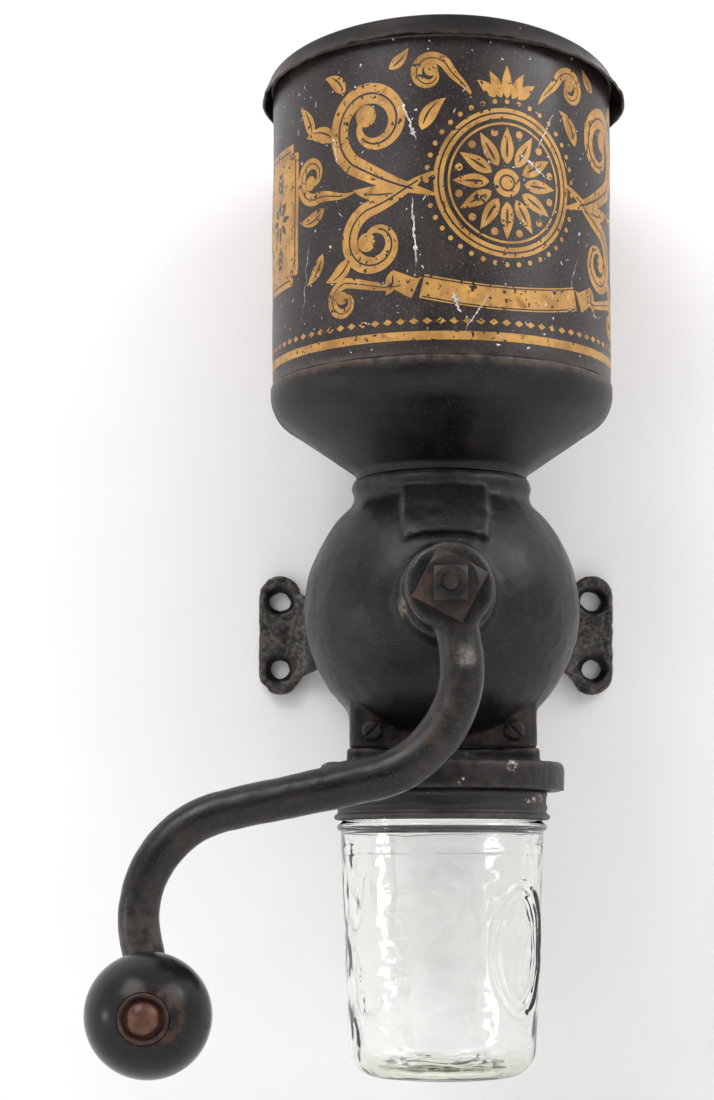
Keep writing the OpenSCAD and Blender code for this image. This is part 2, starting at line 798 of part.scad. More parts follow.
module regulating_screw() {
    color([0.3, 0.28, 0.26]) at_mill() {
        rod(reg_d, button_end, wing_start + bite);
        linear_extrude(wing_t, center = true) intersection() {
            translate([-wing_w / 2, wing_start]) square([wing_w, wing_l]);
            union() {
                for (s = [-1, 1]) translate([s * wing_w / 4, wing_start + wing_l / 2]) circle(d = wing_w / 2);
                translate([-reg_d / 2, wing_start]) square([reg_d, wing_l / 2]);
            }
        }
    }
}

module regulating_lock_nut() {
    color([0.35, 0.32, 0.28]) at_mill() difference() {
        translate([0, cover_boss_end + seat_gap, 0])
            block([-lock_nut_w / 2, 0, -lock_nut_w / 2], [lock_nut_w / 2, lock_nut_t, lock_nut_w / 2]);
        rod(reg_d + 2 * run_gap, 0, beyond);
    }
}

// Straight length of the arm in the crank's own plane, let into the bend at each end
module arm_run(start, way, l, r0, r1) {
    translate(start - bite * heading(way)) rotate([0, 0, way]) rotate([0, 90, 0])
        cylinder(r1 = r0 - bend_step, r2 = r1 - bend_step, h = l + 2 * bite);
}

module arm_bend(mid, from, turn, bend_r, r) {
    translate(mid) rotate([0, 0, from]) rotate_extrude(angle = turn) translate([bend_r, 0]) circle(r);
}

module crank_arm() {
    hub_low = hub_back - arm_out;
    hub_high = hub_front - arm_out;
    color([0.07, 0.07, 0.08]) at_mill() translate([0, -arm_out, 0]) rotate([90, 0, 0]) difference() {
        union() {
            translate([0, 0, hub_low]) cylinder(d = hub_d, h = hub_high - hub_low);
            arm_run([0, 0], arm_heading, run_1, arm_r_hub, arm_r_hub);
            arm_bend(bend_1_mid, heading_2 + 90, turn_1, bend_r_1, arm_r_hub);
            arm_run(bend_1_end, heading_2, run_2, arm_r_hub, arm_r_knob);
            arm_bend(bend_2_mid, heading_2 - 90, turn_2, bend_r_2, arm_r_knob);
            arm_run(bend_2_end, heading_3, run_3, arm_r_knob, arm_r_knob);
            translate([knob_at[0], knob_at[1], -arm_r_knob])
                cylinder(d = knob_seat_d, h = knob_seat - arm_out + arm_r_knob);
        }
        translate([0, 0, hub_high]) cylinder(d = hub_d + 2 * bite, h = beyond);
        translate([0, 0, hub_low - bite]) linear_extrude(beyond)
            square(square_w + 2 * seat_gap, center = true);
        translate([knob_at[0], knob_at[1], 0])
            cylinder(d = rivet_d + 2 * seat_gap, h = beyond, center = true);
    }
}

module crank_washer() {
    color([0.16, 0.13, 0.11]) at_mill() difference() {
        rotate([0, washer_turn, 0]) square_piece(washer_w, -nut_seat, -hub_front);
        rod(stud_d + 2 * seat_gap, -beyond, beyond);
    }
}

module crank_nut() {
    color([0.2, 0.17, 0.14]) at_mill() difference() {
        square_piece(nut_w, -nut_seat - nut_t, -nut_seat);
        rod(stud_d + 2 * seat_gap, -beyond, beyond);
    }
}

// Moves to the knob's pivot on the crank
module at_knob() {
    at_mill() translate([knob_at[0], 0, knob_at[1]]) children();
}

module knob() {
    bore_r = rivet_d / 2 + run_gap;
    recess_r = cup_r + seat_gap;
    back = knob_flat - knob_r;
    color([0.05, 0.05, 0.05]) at_knob() translate([0, -knob_mid, 0]) rotate([90, 0, 0]) rotate_extrude()
        polygon(concat(
            [[bore_r, back]],
            arc([0, 0], knob_r, asin(back / knob_r), acos(recess_r / knob_r), knob_steps),
            [[recess_r, knob_r - recess_h], [bore_r, knob_r - recess_h]]));
}

module knob_rivet() {
    dome_r = (pow(rivet_head_d / 2, 2) + pow(rivet_head_h, 2)) / (2 * rivet_head_h);
    color([0.36, 0.22, 0.15]) at_knob() {
        rod(rivet_d, -rivet_head_seat - bite, -rivet_tail);
        intersection() {
            translate([0, dome_r - rivet_head_h - rivet_head_seat, 0]) sphere(dome_r);
            rod(rivet_head_d, -beyond, -rivet_head_seat);
        }
    }
}

module knob_cup_washer() {
    bore_r = rivet_d / 2 + run_gap;
    color([0.38, 0.25, 0.18]) at_knob() translate([0, -recess_floor, 0]) rotate([90, 0, 0]) rotate_extrude()
        polygon([[bore_r, 0], [cup_r, 0], [cup_r, cup_h], [cup_r - cup_t, cup_h],
                 [cup_r - 2 * cup_t, cup_t], [bore_r, cup_t]]);
}

// Copies at the rivets of the jar lid
module at_lid_rivets() {
    for (i = [0:lid_rivets - 1]) rotate([0, 0, (i + 0.5) * 360 / lid_rivets])
        translate([lid_rivet_r, 0, 0]) children();
}

module outlet_plate() {
    plate_r = plate_d / 2;
    recess_r = jar_lid_r + jar_lip + lift_gap;
    lug_gap = spout_wall + seat_gap;
    lug_x = spout_w / 2 - lug_gap;
    color([0.09, 0.09, 0.1]) at_mill() difference() {
        union() {
            rotate_extrude() polygon(concat(
                [[0, plate_top]],
                arc([plate_r - plate_round, plate_top - plate_round], plate_round, 90, 0),
                [[plate_r, plate_low], [recess_r, plate_low], [recess_r, jar_lid_top], [0, jar_lid_top]]));
            translate([0, spout_mid, plate_top - bite]) linear_extrude(collar_h + bite)
                rounded(spout_w + 2 * collar_lip, spout_deep + 2 * collar_lip, spout_corner);
            difference() {
                for (side = [0, 1]) mirror([side, 0, 0])
                    block([lug_x - lug_w, lug_gap - spout_front, -spout_low - bite],
                          [lug_x, lug_gap - spout_front + 2 * outlet_screw_d,
                           outlet_screw_z + outlet_screw_d]);
                sphere(ball_r + lift_gap);
            }
        }
        // The round outlet, stopped by the plate in front of the spout
        intersection() {
            translate([0, 0, -beyond]) cylinder(d = outlet_d, h = beyond - spout_low);
            block([-beyond, -spout_front, -beyond], [beyond, beyond, 0]);
        }
        for (x = [-1, 1])
            translate([x * outlet_screw_x, 0, outlet_screw_z])
                rod(outlet_screw_d + 2 * seat_gap, -beyond, 0);
        at_lid_rivets() translate([0, 0, -beyond])
            cylinder(d = lid_rivet_d + 2 * seat_gap, h = beyond + plate_top - bite);
    }
}

module outlet_screws() {
    color([0.2, 0.17, 0.14]) at_mill() for (x = [-1, 1])
        translate([x * outlet_screw_x, -spout_front, outlet_screw_z]) rotate([0, x * 45, 0])
            screw(outlet_screw_d, outlet_screw_l);
}

module jar_lid() {
    lid_in = jar_lid_r - jar_lid_t;
    edge = 2 * jar_lid_t;
    color([0.07, 0.07, 0.08]) at_mill() difference() {
        rotate_extrude() polygon(concat(
            [[outlet_r, jar_lid_top]],
            arc([jar_lid_r - edge, jar_lid_top - edge], edge, 90, 0, 4),
            [[jar_lid_r, jar_lid_low + 2 * jar_lip]],
            arc([jar_lid_r, jar_lid_low + jar_lip], jar_lip, 90, -90, 6),
            [[lid_in, jar_lid_low], [lid_in, jar_lid_top - edge]],
            [[jar_lid_r - edge, jar_lid_top - jar_lid_t], [outlet_r, jar_lid_top - jar_lid_t]]));
        at_lid_rivets() translate([0, 0, -beyond]) cylinder(d = lid_rivet_d + 2 * seat_gap, h = beyond);
    }
}

module jar_lid_rivets() {
    under = jar_lid_top - jar_lid_t;
    head_h = lid_rivet_head / 2;
    color([0.3, 0.28, 0.26]) at_mill() at_lid_rivets() translate([0, 0, under]) {
        cylinder(d = lid_rivet_d, h = plate_t - plate_recess - bite);
        translate([0, 0, -head_h]) cylinder(r1 = lid_rivet_head / 2, r2 = lid_rivet_head, h = head_h);
    }
}

module glass_jar() {
    side_drop = ring_z - ring_bead_t / 2;
    foot_z = jar_low + jar_corner;
    bead_mid = [ring_bead_d / 2 - ring_bead_t / 2, ring_z];
    lean = atan2(jar_top_r - jar_low_r, side_drop - foot_z);
    base_r = jar_low_r - jar_corner;
    color([0.8, 0.88, 0.86, 0.4]) at_mill() rotate_extrude() polygon(concat(
        [[mouth_in_r, mouth_top], [mouth_r - bite, mouth_top], [mouth_r, mouth_top - bite]],
        [[mouth_r, ring_z + ring_bead_t / 2]],
        arc(bead_mid, ring_bead_t / 2, 90, -90),
        [[jar_top_r, side_drop]],
        arc([base_r, foot_z], jar_corner, -lean, -90),
        [[base_r - jar_hollow, jar_low], [0, jar_low + jar_hollow]],
        [[0, jar_low + jar_base]],
        arc([base_r, foot_z], jar_corner - jar_wall, -90, -lean),
        [[jar_top_r - jar_wall, side_drop]]));
}

front_casting();
rear_casting();
hopper();
canister();
canister_lid();
spindle();
inner_burr();
burr_pin();
ring_burr();
ring_burr_screws();
rear_cover();
rear_cover_screws();
thrust_button();
regulating_screw();
regulating_lock_nut();
crank_arm();
crank_washer();
crank_nut();
knob();
knob_rivet();
knob_cup_washer();
outlet_plate();
outlet_screws();
jar_lid();
jar_lid_rivets();
glass_jar();
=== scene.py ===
"""Wall mounted coffee mill: fine shapes, finishes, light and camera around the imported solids.

Lengths inside the classes are millimetres about the crossing of the crank spindle and the mill's
upright axis, with +Z up and the front towards -Y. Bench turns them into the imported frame's metres.
"""

import logging
import math
from contextlib import contextmanager
from dataclasses import dataclass
from enum import Enum
from typing import Any, Callable, Iterator, Sequence

import bpy
import numpy as np
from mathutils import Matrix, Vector, noise

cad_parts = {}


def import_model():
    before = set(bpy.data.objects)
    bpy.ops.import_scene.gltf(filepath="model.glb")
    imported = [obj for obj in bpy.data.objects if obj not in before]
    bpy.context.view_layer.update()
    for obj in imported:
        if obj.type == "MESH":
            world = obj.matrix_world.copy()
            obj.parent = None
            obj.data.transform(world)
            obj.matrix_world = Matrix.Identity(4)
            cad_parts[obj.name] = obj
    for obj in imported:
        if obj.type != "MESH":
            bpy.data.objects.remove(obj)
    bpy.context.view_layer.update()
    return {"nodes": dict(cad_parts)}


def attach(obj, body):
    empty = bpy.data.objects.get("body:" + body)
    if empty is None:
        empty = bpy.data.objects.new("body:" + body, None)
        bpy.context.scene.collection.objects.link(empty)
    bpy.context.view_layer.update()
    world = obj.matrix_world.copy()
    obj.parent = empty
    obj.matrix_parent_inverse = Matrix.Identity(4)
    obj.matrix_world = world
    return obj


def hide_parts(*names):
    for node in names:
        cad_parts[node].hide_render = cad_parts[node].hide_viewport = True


LOG = logging.getLogger("coffee_mill")
MM = 0.001
MILL = np.array((0.0, -0.077, 0.003))

Pair = tuple[float, float]
Colour = tuple[float, float, float]
Place = tuple[float, float, float]
Spot = tuple[float, float, float]
Waves = tuple[Pair, ...]
Field = Callable[[np.ndarray], np.ndarray]


class Turn(Enum):
    """Axes that the mill's round pieces are turned about."""

    UPRIGHT = (0.0, 0.0, 1.0)
    SPINDLE = (0.0, 1.0, 0.0)


class Mark(Enum):
    """Named attributes that a piece's mesh carries for its finish."""

    WEAR = "wear"
    RUST = "rust"
    FLAKE = "flake"


# Small shape functions


def fade(values: np.ndarray, near: float, far: float) -> np.ndarray:
    """Eases from 1 at near to 0 at far.

    Args:
        values: Distances or heights.
        near: Value where the result is 1.
        far: Value where the result is 0.

    Returns:
        Weights from 0 to 1, one for each value.
    """
    t = np.clip((values - far) / (near - far), 0.0, 1.0)
    return t * t * (3.0 - 2.0 * t)


def polar(mid: Pair, radius: float, angle: float) -> Pair:
    """The point at a radius and an angle in degrees from a middle."""
    turn = math.radians(angle)
    return (mid[0] + radius * math.cos(turn), mid[1] + radius * math.sin(turn))


def arc(mid: Pair, radius: float, start: float, end: float, steps: int = 8) -> list[Pair]:
    """Points along an arc.

    Args:
        mid: Centre of the arc.
        radius: Radius of the arc.
        start: First angle in degrees.
        end: Last angle in degrees.
        steps: Number of chords.

    Returns:
        The points from start to end.
    """
    return [polar(mid, radius, start + (end - start) * i / steps) for i in range(steps + 1)]


def grain(points: np.ndarray, wave: float) -> np.ndarray:
    """Smooth noise of about -0.5 to 0.5 at points, with bumps about one wave apart."""
    return np.array([noise.noise(Vector(p) / wave) for p in points])


def waves(points: np.ndarray, layers: Waves) -> np.ndarray:
    """Uneven skin: smooth noises added up, each with its depth and the distance between its bumps."""
    return sum(depth * grain(points, wave) for depth, wave in layers)


def outward(angle: np.ndarray) -> np.ndarray:
    """Level directions away from the upright axis, at angles from the front."""
    return np.stack([np.sin(angle), -np.cos(angle), 0.0 * angle], axis=1)


class Bench:
    """Modelling steps, done with Blender's own operators."""

    nodes: dict[str, bpy.types.Object] = {}
    weld: float = 0.01 * MM
    speck: float = 0.0005 * MM

    @staticmethod
    def pick(obj: bpy.types.Object) -> None:
        """Makes one object the only selected one, and the active one."""
        bpy.ops.object.select_all(action="DESELECT")
        obj.select_set(True)
        bpy.context.view_layer.objects.active = obj

    @classmethod
    @contextmanager
    def editing(cls, obj: bpy.types.Object) -> Iterator[None]:
        """Edit mode on one piece, with all of it selected."""
        cls.pick(obj)
        bpy.ops.object.mode_set(mode="EDIT")
        bpy.ops.mesh.select_all(action="SELECT")
        yield
        bpy.ops.object.mode_set(mode="OBJECT")

    @staticmethod
    def read(obj: bpy.types.Object, key: str) -> np.ndarray:
        """Three numbers for each of the piece's vertices, by Blender's name for them."""
        flat = np.empty(len(obj.data.vertices) * 3, np.float32)
        obj.data.vertices.foreach_get(key, flat)
        return flat.reshape(-1, 3)

    @classmethod
    def points(cls, obj: bpy.types.Object) -> np.ndarray:
        """The piece's vertices in millimetres about the mill's centre."""
        return (cls.read(obj, "co") - MILL) / MM

    @staticmethod
    def put(obj: bpy.types.Object, points: np.ndarray) -> None:
        """Moves the piece's vertices to points in millimetres about the mill's centre."""
        flat = (points * MM + MILL).astype(np.float32).ravel()
        obj.data.vertices.foreach_set("co", flat)
        obj.data.update()

    @classmethod
    def push(cls, obj: bpy.types.Object, depth: Field) -> None:
        """Moves the piece's surface along its own normals.

        Args:
            obj: The piece.
            depth: Gives the move in millimetres for an array of points.
        """
        points = cls.points(obj)
        cls.put(obj, points + cls.read(obj, "normal") * depth(points)[:, None])

    @classmethod
    def mark(cls, obj: bpy.types.Object, name: Mark, values: np.ndarray) -> None:
        """Stores one number a vertex for the piece's finish to read."""
        layer = obj.data.attributes.new(name.value, "FLOAT", "POINT")
        layer.data.foreach_set("value", np.clip(values, 0.0, 1.0).astype(np.float32))

    @classmethod
    def rub(cls, obj: bpy.types.Object, values: np.ndarray) -> None:
        """Adds worn places to the edges that are already marked as worn."""
        layer = obj.data.attributes[Mark.WEAR.value].data
        kept = np.empty(len(layer), np.float32)
        layer.foreach_get("value", kept)
        layer.foreach_set("value", np.maximum(kept, np.clip(values, 0.0, 1.0)).astype(np.float32))

    @classmethod
    def modify(cls, obj: bpy.types.Object, kind: str, **settings: Any) -> None:
        """Adds one modifier to the piece and applies it.

        Args:
            obj: The piece.
            kind: Blender's name for the modifier.
            settings: The modifier's own settings.
        """
        cls.pick(obj)
        bpy.ops.object.modifier_add(type=kind)
        modifier = obj.modifiers[-1]
        for key, value in settings.items():
            setattr(modifier, key, value)
        bpy.ops.object.modifier_apply(modifier=modifier.name)

    @classmethod
    def smooth(cls, obj: bpy.types.Object, angle: float = 35.0) -> None:
        """Shades the piece smooth, apart from edges sharper than angle in degrees."""
        cls.pick(obj)
        bpy.ops.object.shade_smooth_by_angle(angle=math.radians(angle))

    @classmethod
    def lathe(
        cls,
        name: str,
        profile: Sequence[Pair],
        turn: Turn = Turn.UPRIGHT,
        centre: Sequence[float] = (0.0, 0.0, 0.0),
        steps: int = 128,
    ) -> bpy.types.Object:
        """Turns a profile into a round piece.

        Args:
            name: The piece's name.
            profile: Radius and place along the axis of each point.
            turn: The axis.
            centre: A point on the axis.
            steps: Divisions round the axis.

        Returns:
            The new piece.
        """
        middle = np.array(centre) * MM + MILL
        along = np.array(turn.value)
        path = [Vector(middle + MM * (np.array((r, 0.0, 0.0)) + t * along)) for r, t in profile]
        bpy.ops.object.select_all(action="DESELECT")
        bpy.ops.mesh.primitive_plane_add(size=MM, location=(0.0, 0.0, 0.0))
        obj = bpy.context.object
        obj.name = obj.data.name = name
        with cls.editing(obj):
            bpy.ops.mesh.merge(type="CENTER")
            bpy.ops.transform.translate(value=path[0])
            for a, b in zip(path, path[1:]):
                bpy.ops.mesh.extrude_region_move(TRANSFORM_OT_translate={"value": b - a})
            bpy.ops.mesh.select_all(action="SELECT")
            bpy.ops.mesh.spin(steps=steps, angle=math.tau, center=middle, axis=turn.value)
            bpy.ops.mesh.select_all(action="SELECT")
            bpy.ops.mesh.remove_doubles(threshold=cls.weld)
            bpy.ops.mesh.delete_loose()
            bpy.ops.mesh.select_all(action="SELECT")
            bpy.ops.mesh.normals_make_consistent(inside=False)
        cls.smooth(obj)
        return obj

    @classmethod
    def copy(cls, name: str, *nodes: str) -> bpy.types.Object:
        """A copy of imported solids, with their loose triangles merged.

        Args:
            name: The piece's name.
            nodes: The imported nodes.

        Returns:
            The new piece.
        """
        bpy.ops.object.select_all(action="DESELECT")
        for node in nodes:
            obj = bpy.data.objects.new(name, cls.nodes[node].data.copy())
            obj.data.materials.clear()
            bpy.context.scene.collection.objects.link(obj)
            obj.select_set(True)
        bpy.context.view_layer.objects.active = obj
        if len(nodes) > 1:
            bpy.ops.object.join()
        obj.name = obj.data.name = name
        with cls.editing(obj):
            bpy.ops.mesh.remove_doubles(threshold=cls.weld)
        return obj

    @classmethod
    def largest(cls, obj: bpy.types.Object) -> bpy.types.Object:
        """Drops the specks that lie loose beside a piece's main part, and returns that part."""
        name = obj.name
        cls.pick(obj)
        bpy.ops.mesh.separate(type="LOOSE")
        parts = sorted(bpy.context.selected_objects, key=lambda part: len(part.data.vertices))
        kept = parts.pop()
        for part in parts:
            bpy.data.objects.remove(part)
        kept.name = kept.data.name = name
        return kept

    @classmethod
    def clean(cls, obj: bpy.types.Object) -> None:
        """Merges points that lie on each other, and takes out faces without an area."""
        with cls.editing(obj):
            bpy.ops.mesh.remove_doubles(threshold=cls.speck)
            bpy.ops.mesh.dissolve_degenerate(threshold=cls.speck)

    @classmethod
    def eased(cls, name: str, node: str, width: float) -> bpy.types.Object:
        """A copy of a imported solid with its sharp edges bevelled.

        Args:
            name: The piece's name.
            node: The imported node.
            width: Width of the bevel in millimetres.

        Returns:
            The new piece.
        """
        obj = cls.copy(name, node)
        with cls.editing(obj):
            bpy.ops.mesh.dissolve_limited(angle_limit=math.radians(1.0))
        cls.modify(
            obj,
            "BEVEL",
            width=width * MM,
            segments=3,
            limit_method="ANGLE",
            angle_limit=math.radians(30.0),
            use_clamp_overlap=True,
        )
        cls.clean(obj)
        cls.smooth(obj, 40.0)
        return obj

    @classmethod
    def casting(
        cls, name: str, nodes: Sequence[str], voxel: float, passes: int, soft: Field | None = None
    ) -> bpy.types.Object:
        """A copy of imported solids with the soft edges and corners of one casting.

        Args:
            name: The piece's name.
            nodes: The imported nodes.
            voxel: Size of the new mesh's squares in millimetres.
            passes: Smoothing all over.
            soft: Weights of the places that get much more smoothing.

        Returns:
            The new piece, with its convex edges marked as worn.
        """
        obj = cls.copy(name, *nodes)
        cls.modify(obj, "REMESH", mode="VOXEL", voxel_size=voxel * MM)
        obj = cls.largest(obj)
        if soft is not None:
            group = obj.vertex_groups.new(name="soft")
            weights = soft(cls.points(obj))
            for index in np.nonzero(weights > 0.01)[0]:
                group.add([int(index)], float(weights[index]), "REPLACE")
            cls.modify(obj, "SMOOTH", factor=0.5, iterations=60, vertex_group="soft")
            obj.vertex_groups.clear()
        cls.modify(obj, "SMOOTH", factor=0.5, iterations=passes)
        cls.mark(obj, Mark.WEAR, np.clip((cls.convexity(obj) / voxel - 0.03) / 0.1, 0.0, 1.0))
        cls.smooth(obj, 60.0)
        return obj

    @classmethod
    def convexity(cls, obj: bpy.types.Object) -> np.ndarray:
        """How far each vertex of an even mesh stands out of its neighbours, in millimetres."""
        points = cls.points(obj)
        count = len(points)
        pairs = np.empty(len(obj.data.edges) * 2, np.int32)
        obj.data.edges.foreach_get("vertices", pairs)
        a, b = pairs.reshape(-1, 2).T
        share = np.maximum(np.bincount(a, minlength=count) + np.bincount(b, minlength=count), 1)

        def around(values: np.ndarray) -> np.ndarray:
            """Mean of the neighbours' values."""
            total = np.bincount(a, values[b], count) + np.bincount(b, values[a], count)
            return total / share

        mean = np.stack([around(points[:, i]) for i in range(3)], axis=1)
        proud = ((points - mean) * cls.read(obj, "normal")).sum(axis=1)
        for _ in range(3):
            proud = (proud + around(proud)) / 2.0
        return proud

    @staticmethod
    def sheet(name: str, points: np.ndarray, faces: Sequence[Sequence[int]]) -> bpy.types.Object:
        """A piece from points in millimetres about the mill's centre and their faces."""
        mesh = bpy.data.meshes.new(name)
        mesh.from_pydata((points * MM + MILL).tolist(), [], [list(f) for f in faces])
        mesh.update()
        obj = bpy.data.objects.new(name, mesh)
        bpy.context.scene.collection.objects.link(obj)
        Bench.clean(obj)
        Bench.smooth(obj, 60.0)
        return obj


def fit(
    obj: bpy.types.Object,
    body: str,
    finish: "Finish",
    nodes: Sequence[str] = (),
) -> None:
    """Dresses a piece and puts it on its body.

    Args:
        obj: The piece.
        body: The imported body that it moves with.
        finish: Its finish.
        nodes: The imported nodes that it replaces.
    """
    obj.data.materials.clear()
    obj.data.materials.append(finish.material())
    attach(obj, body)
    if nodes:
        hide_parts(*nodes)
    LOG.info("%s rides on %s with %d faces", obj.name, body, len(obj.data.polygons))


# Finishes


class Brush:
    """Builds one material's nodes."""

    def __init__(self, name: str) -> None:
        """Starts an empty material with a shader and an output."""
        self.made = bpy.data.materials.new(name)
        self.made.use_nodes = True
        self.tree = self.made.node_tree
        self.tree.nodes.clear()
        self.shader = self.add("ShaderNodeBsdfPrincipled")
        self.out = self.add("ShaderNodeOutputMaterial")
        self.join(self.shader.outputs[0], self.out.inputs["Surface"])
        self.place = self.add("ShaderNodeTexCoord").outputs["Object"]

    def add(self, kind: str, **settings: Any) -> bpy.types.Node:
        """Adds a node and sets its properties."""
        node = self.tree.nodes.new(kind)
        for key, value in settings.items():
            setattr(node, key, value)
        return node

    def join(self, start: bpy.types.NodeSocket, end: bpy.types.NodeSocket) -> None:
        """Links two sockets."""
        self.tree.links.new(start, end)

    def set(self, socket: bpy.types.NodeSocket, value: Any) -> None:
        """Links a socket, or sets its value."""
        if isinstance(value, bpy.types.NodeSocket):
            self.join(value, socket)
        else:
            socket.default_value = value

    def speckle(
        self, wave: float, detail: float = 3.0, stretch: Sequence[float] | None = None
    ) -> bpy.types.NodeSocket:
        """Noise with bumps about one wave apart, in millimetres.

        Args:
            wave: Size of the bumps.
            detail: Finer layers.
            stretch: Scale along X, Y and Z.

        Returns:
            The noise's value.
        """
        node = self.add("ShaderNodeTexNoise")
        node.inputs["Scale"].default_value = 1.0 / (wave * MM)
        node.inputs["Detail"].default_value = detail
        place = self.place
        if stretch is not None:
            mapping = self.add("ShaderNodeMapping")
            mapping.inputs["Scale"].default_value = stretch
            self.join(self.place, mapping.inputs["Vector"])
            place = mapping.outputs[0]
        self.join(place, node.inputs["Vector"])
        return node.outputs[0]

    def between(
        self, value: bpy.types.NodeSocket, low: float, high: float, to: Pair = (0.0, 1.0)
    ) -> bpy.types.NodeSocket:
        """Maps low to high onto another range, and holds it there."""
        node = self.add("ShaderNodeMapRange")
        for key, number in zip((1, 2, 3, 4), (low, high, *to)):
            node.inputs[key].default_value = number
        self.join(value, node.inputs[0])
        return node.outputs[0]

    def maths(self, operation: str, a: Any, b: Any) -> bpy.types.NodeSocket:
        """One calculation with two values, held from 0 to 1."""
        node = self.add("ShaderNodeMath", operation=operation, use_clamp=True)
        self.set(node.inputs[0], a)
        self.set(node.inputs[1], b)
        return node.outputs[0]

    def times(self, a: Any, b: Any) -> bpy.types.NodeSocket:
        """The product of two values."""
        return self.maths("MULTIPLY", a, b)

    def blend(self, share: Any, a: Any, b: Any) -> bpy.types.NodeSocket:
        """Mixes colour a towards colour b."""
        node = self.add("ShaderNodeMix", data_type="RGBA")
        self.set(node.inputs[0], share)
        for socket, value in ((node.inputs[6], a), (node.inputs[7], b)):
            self.set(socket, (*value, 1.0) if isinstance(value, tuple) else value)
        return node.outputs[2]

    def marked(self, name: Mark) -> bpy.types.NodeSocket:
        """The number that the mesh carries under a name, or 0 where it has none."""
        return self.add("ShaderNodeAttribute", attribute_name=name.value).outputs["Fac"]

    def bump(self, height: bpy.types.NodeSocket, depth: float, strength: float) -> None:
        """Roughens the surface.

        Args:
            height: The relief.
            depth: Its depth in millimetres.
            strength: Its share.
        """
        node = self.add("ShaderNodeBump")
        node.inputs["Strength"].default_value = strength
        node.inputs["Distance"].default_value = depth * MM
        self.join(height, node.inputs["Height"])
        self.join(node.outputs[0], self.shader.inputs["Normal"])


@dataclass(frozen=True)
class Finish:
    """A coat or bare surface with mottling, worn edges, rust and pale chips."""

    name: str
    dark: Colour
    light: Colour
    worn: Colour = (0.085, 0.07, 0.058)
    rust: Colour = (0.075, 0.04, 0.022)
    chip: Colour = (0.42, 0.38, 0.32)
    gloss: Pair = (0.34, 0.55)
    mottle: float = 16.0
    patch: float = 4.5
    fine: float = 0.9
    peel: float = 1.7
    flake: float = 2.2
    relief: float = 0.25
    chips: float = 0.0
    rusting: float = 0.0
    rust_rough: float = 0.25
    metallic: float = 0.0
    shine: float = 0.35
    dust: float = 0.0
    dust_tone: Colour = (0.075, 0.07, 0.068)

    def material(self) -> bpy.types.Material:
        """The finish's material, made the first time that it is asked for."""
        return bpy.data.materials.get(self.name) or self.mix()

    def mix(self) -> bpy.types.Material:
        """Builds the material's nodes.

        Returns:
            The new material.
        """
        brush = Brush(self.name)
        clouds = brush.speckle(self.mottle, 5.0)
        patches = brush.speckle(self.patch, 4.0)
        fine = brush.speckle(self.fine, 3.0)
        tone = brush.blend(brush.between(clouds, 0.35, 0.7), self.dark, self.light)
        spots = brush.between(patches, 0.42, 0.62)
        seep = brush.times(brush.between(clouds, 0.5, 0.72), self.rusting)
        stain = brush.maths("ADD", brush.marked(Mark.RUST), seep)
        stain = brush.times(stain, spots)
        tone = brush.blend(stain, tone, self.rust)
        # Worn colour where the wear mark is: real wear, and on the crank's first bend a painted highlight as
        # well.
        wear_and_highlight = brush.times(brush.marked(Mark.WEAR), brush.between(patches, 0.3, 0.6))
        tone = brush.blend(wear_and_highlight, tone, self.worn)
        if self.dust > 0.0:
            specks = brush.times(brush.between(fine, 0.55, 0.75), self.dust)
            tone = brush.blend(specks, tone, self.dust_tone)
        peeled = brush.between(brush.speckle(self.peel, 3.0), 0.47, 0.6)
        bare = brush.times(brush.marked(Mark.FLAKE), peeled)
        tone = brush.blend(bare, tone, self.chip)
        if self.chips > 0.0:
            edge = 0.8 - 0.1 * self.chips
            flakes = brush.between(brush.speckle(self.flake, 2.0), edge, edge + 0.02)
            tone = brush.blend(flakes, tone, self.chip)
        brush.set(brush.shader.inputs["Base Color"], tone)
        dull = brush.between(clouds, 0.3, 0.7, self.gloss)
        rough = brush.maths("ADD", dull, brush.times(stain, self.rust_rough))
        brush.set(brush.shader.inputs["Roughness"], rough)
        brush.shader.inputs["Metallic"].default_value = self.metallic
        brush.shader.inputs["Specular IOR Level"].default_value = self.shine
        brush.bump(brush.maths("ADD", brush.times(fine, 0.5), brush.times(patches, 0.5)), self.relief, 0.5)
        return brush.made


@dataclass(frozen=True)
class Glass(Finish):
    """Clear pressed glass, tinted where it is deep and in its thick base."""

    depth: float = 30.0
    deep: Colour = (0.84, 0.86, 0.77)
    heel: Pair = (-0.1855, -0.18)
    bend: float = 1.48
    ripple: float = 9.0

    def mix(self) -> bpy.types.Material:
        """Builds the material's nodes.

        Returns:
            The new material.
        """
        brush = Brush(self.name)
        inputs = brush.shader.inputs
        height = brush.add("ShaderNodeSeparateXYZ")
        brush.join(brush.place, height.inputs[0])
        over = brush.between(height.outputs[2], *self.heel)
        brush.set(inputs["Base Color"], brush.blend(over, self.deep, self.light))
        inputs["Roughness"].default_value = 0.0
        inputs["IOR"].default_value = self.bend
        inputs["Transmission Weight"].default_value = 1.0
        inputs["Specular IOR Level"].default_value = self.shine
        ripple = brush.speckle(self.ripple, 2.5, (1.0, 1.0, 0.5))
        brush.bump(ripple, self.relief, 0.5)
        depth = brush.add("ShaderNodeVolumeAbsorption")
        depth.inputs["Color"].default_value = (*self.dark, 1.0)
        depth.inputs["Density"].default_value = self.depth
        brush.join(depth.outputs[0], brush.out.inputs["Volume"])
        return brush.made


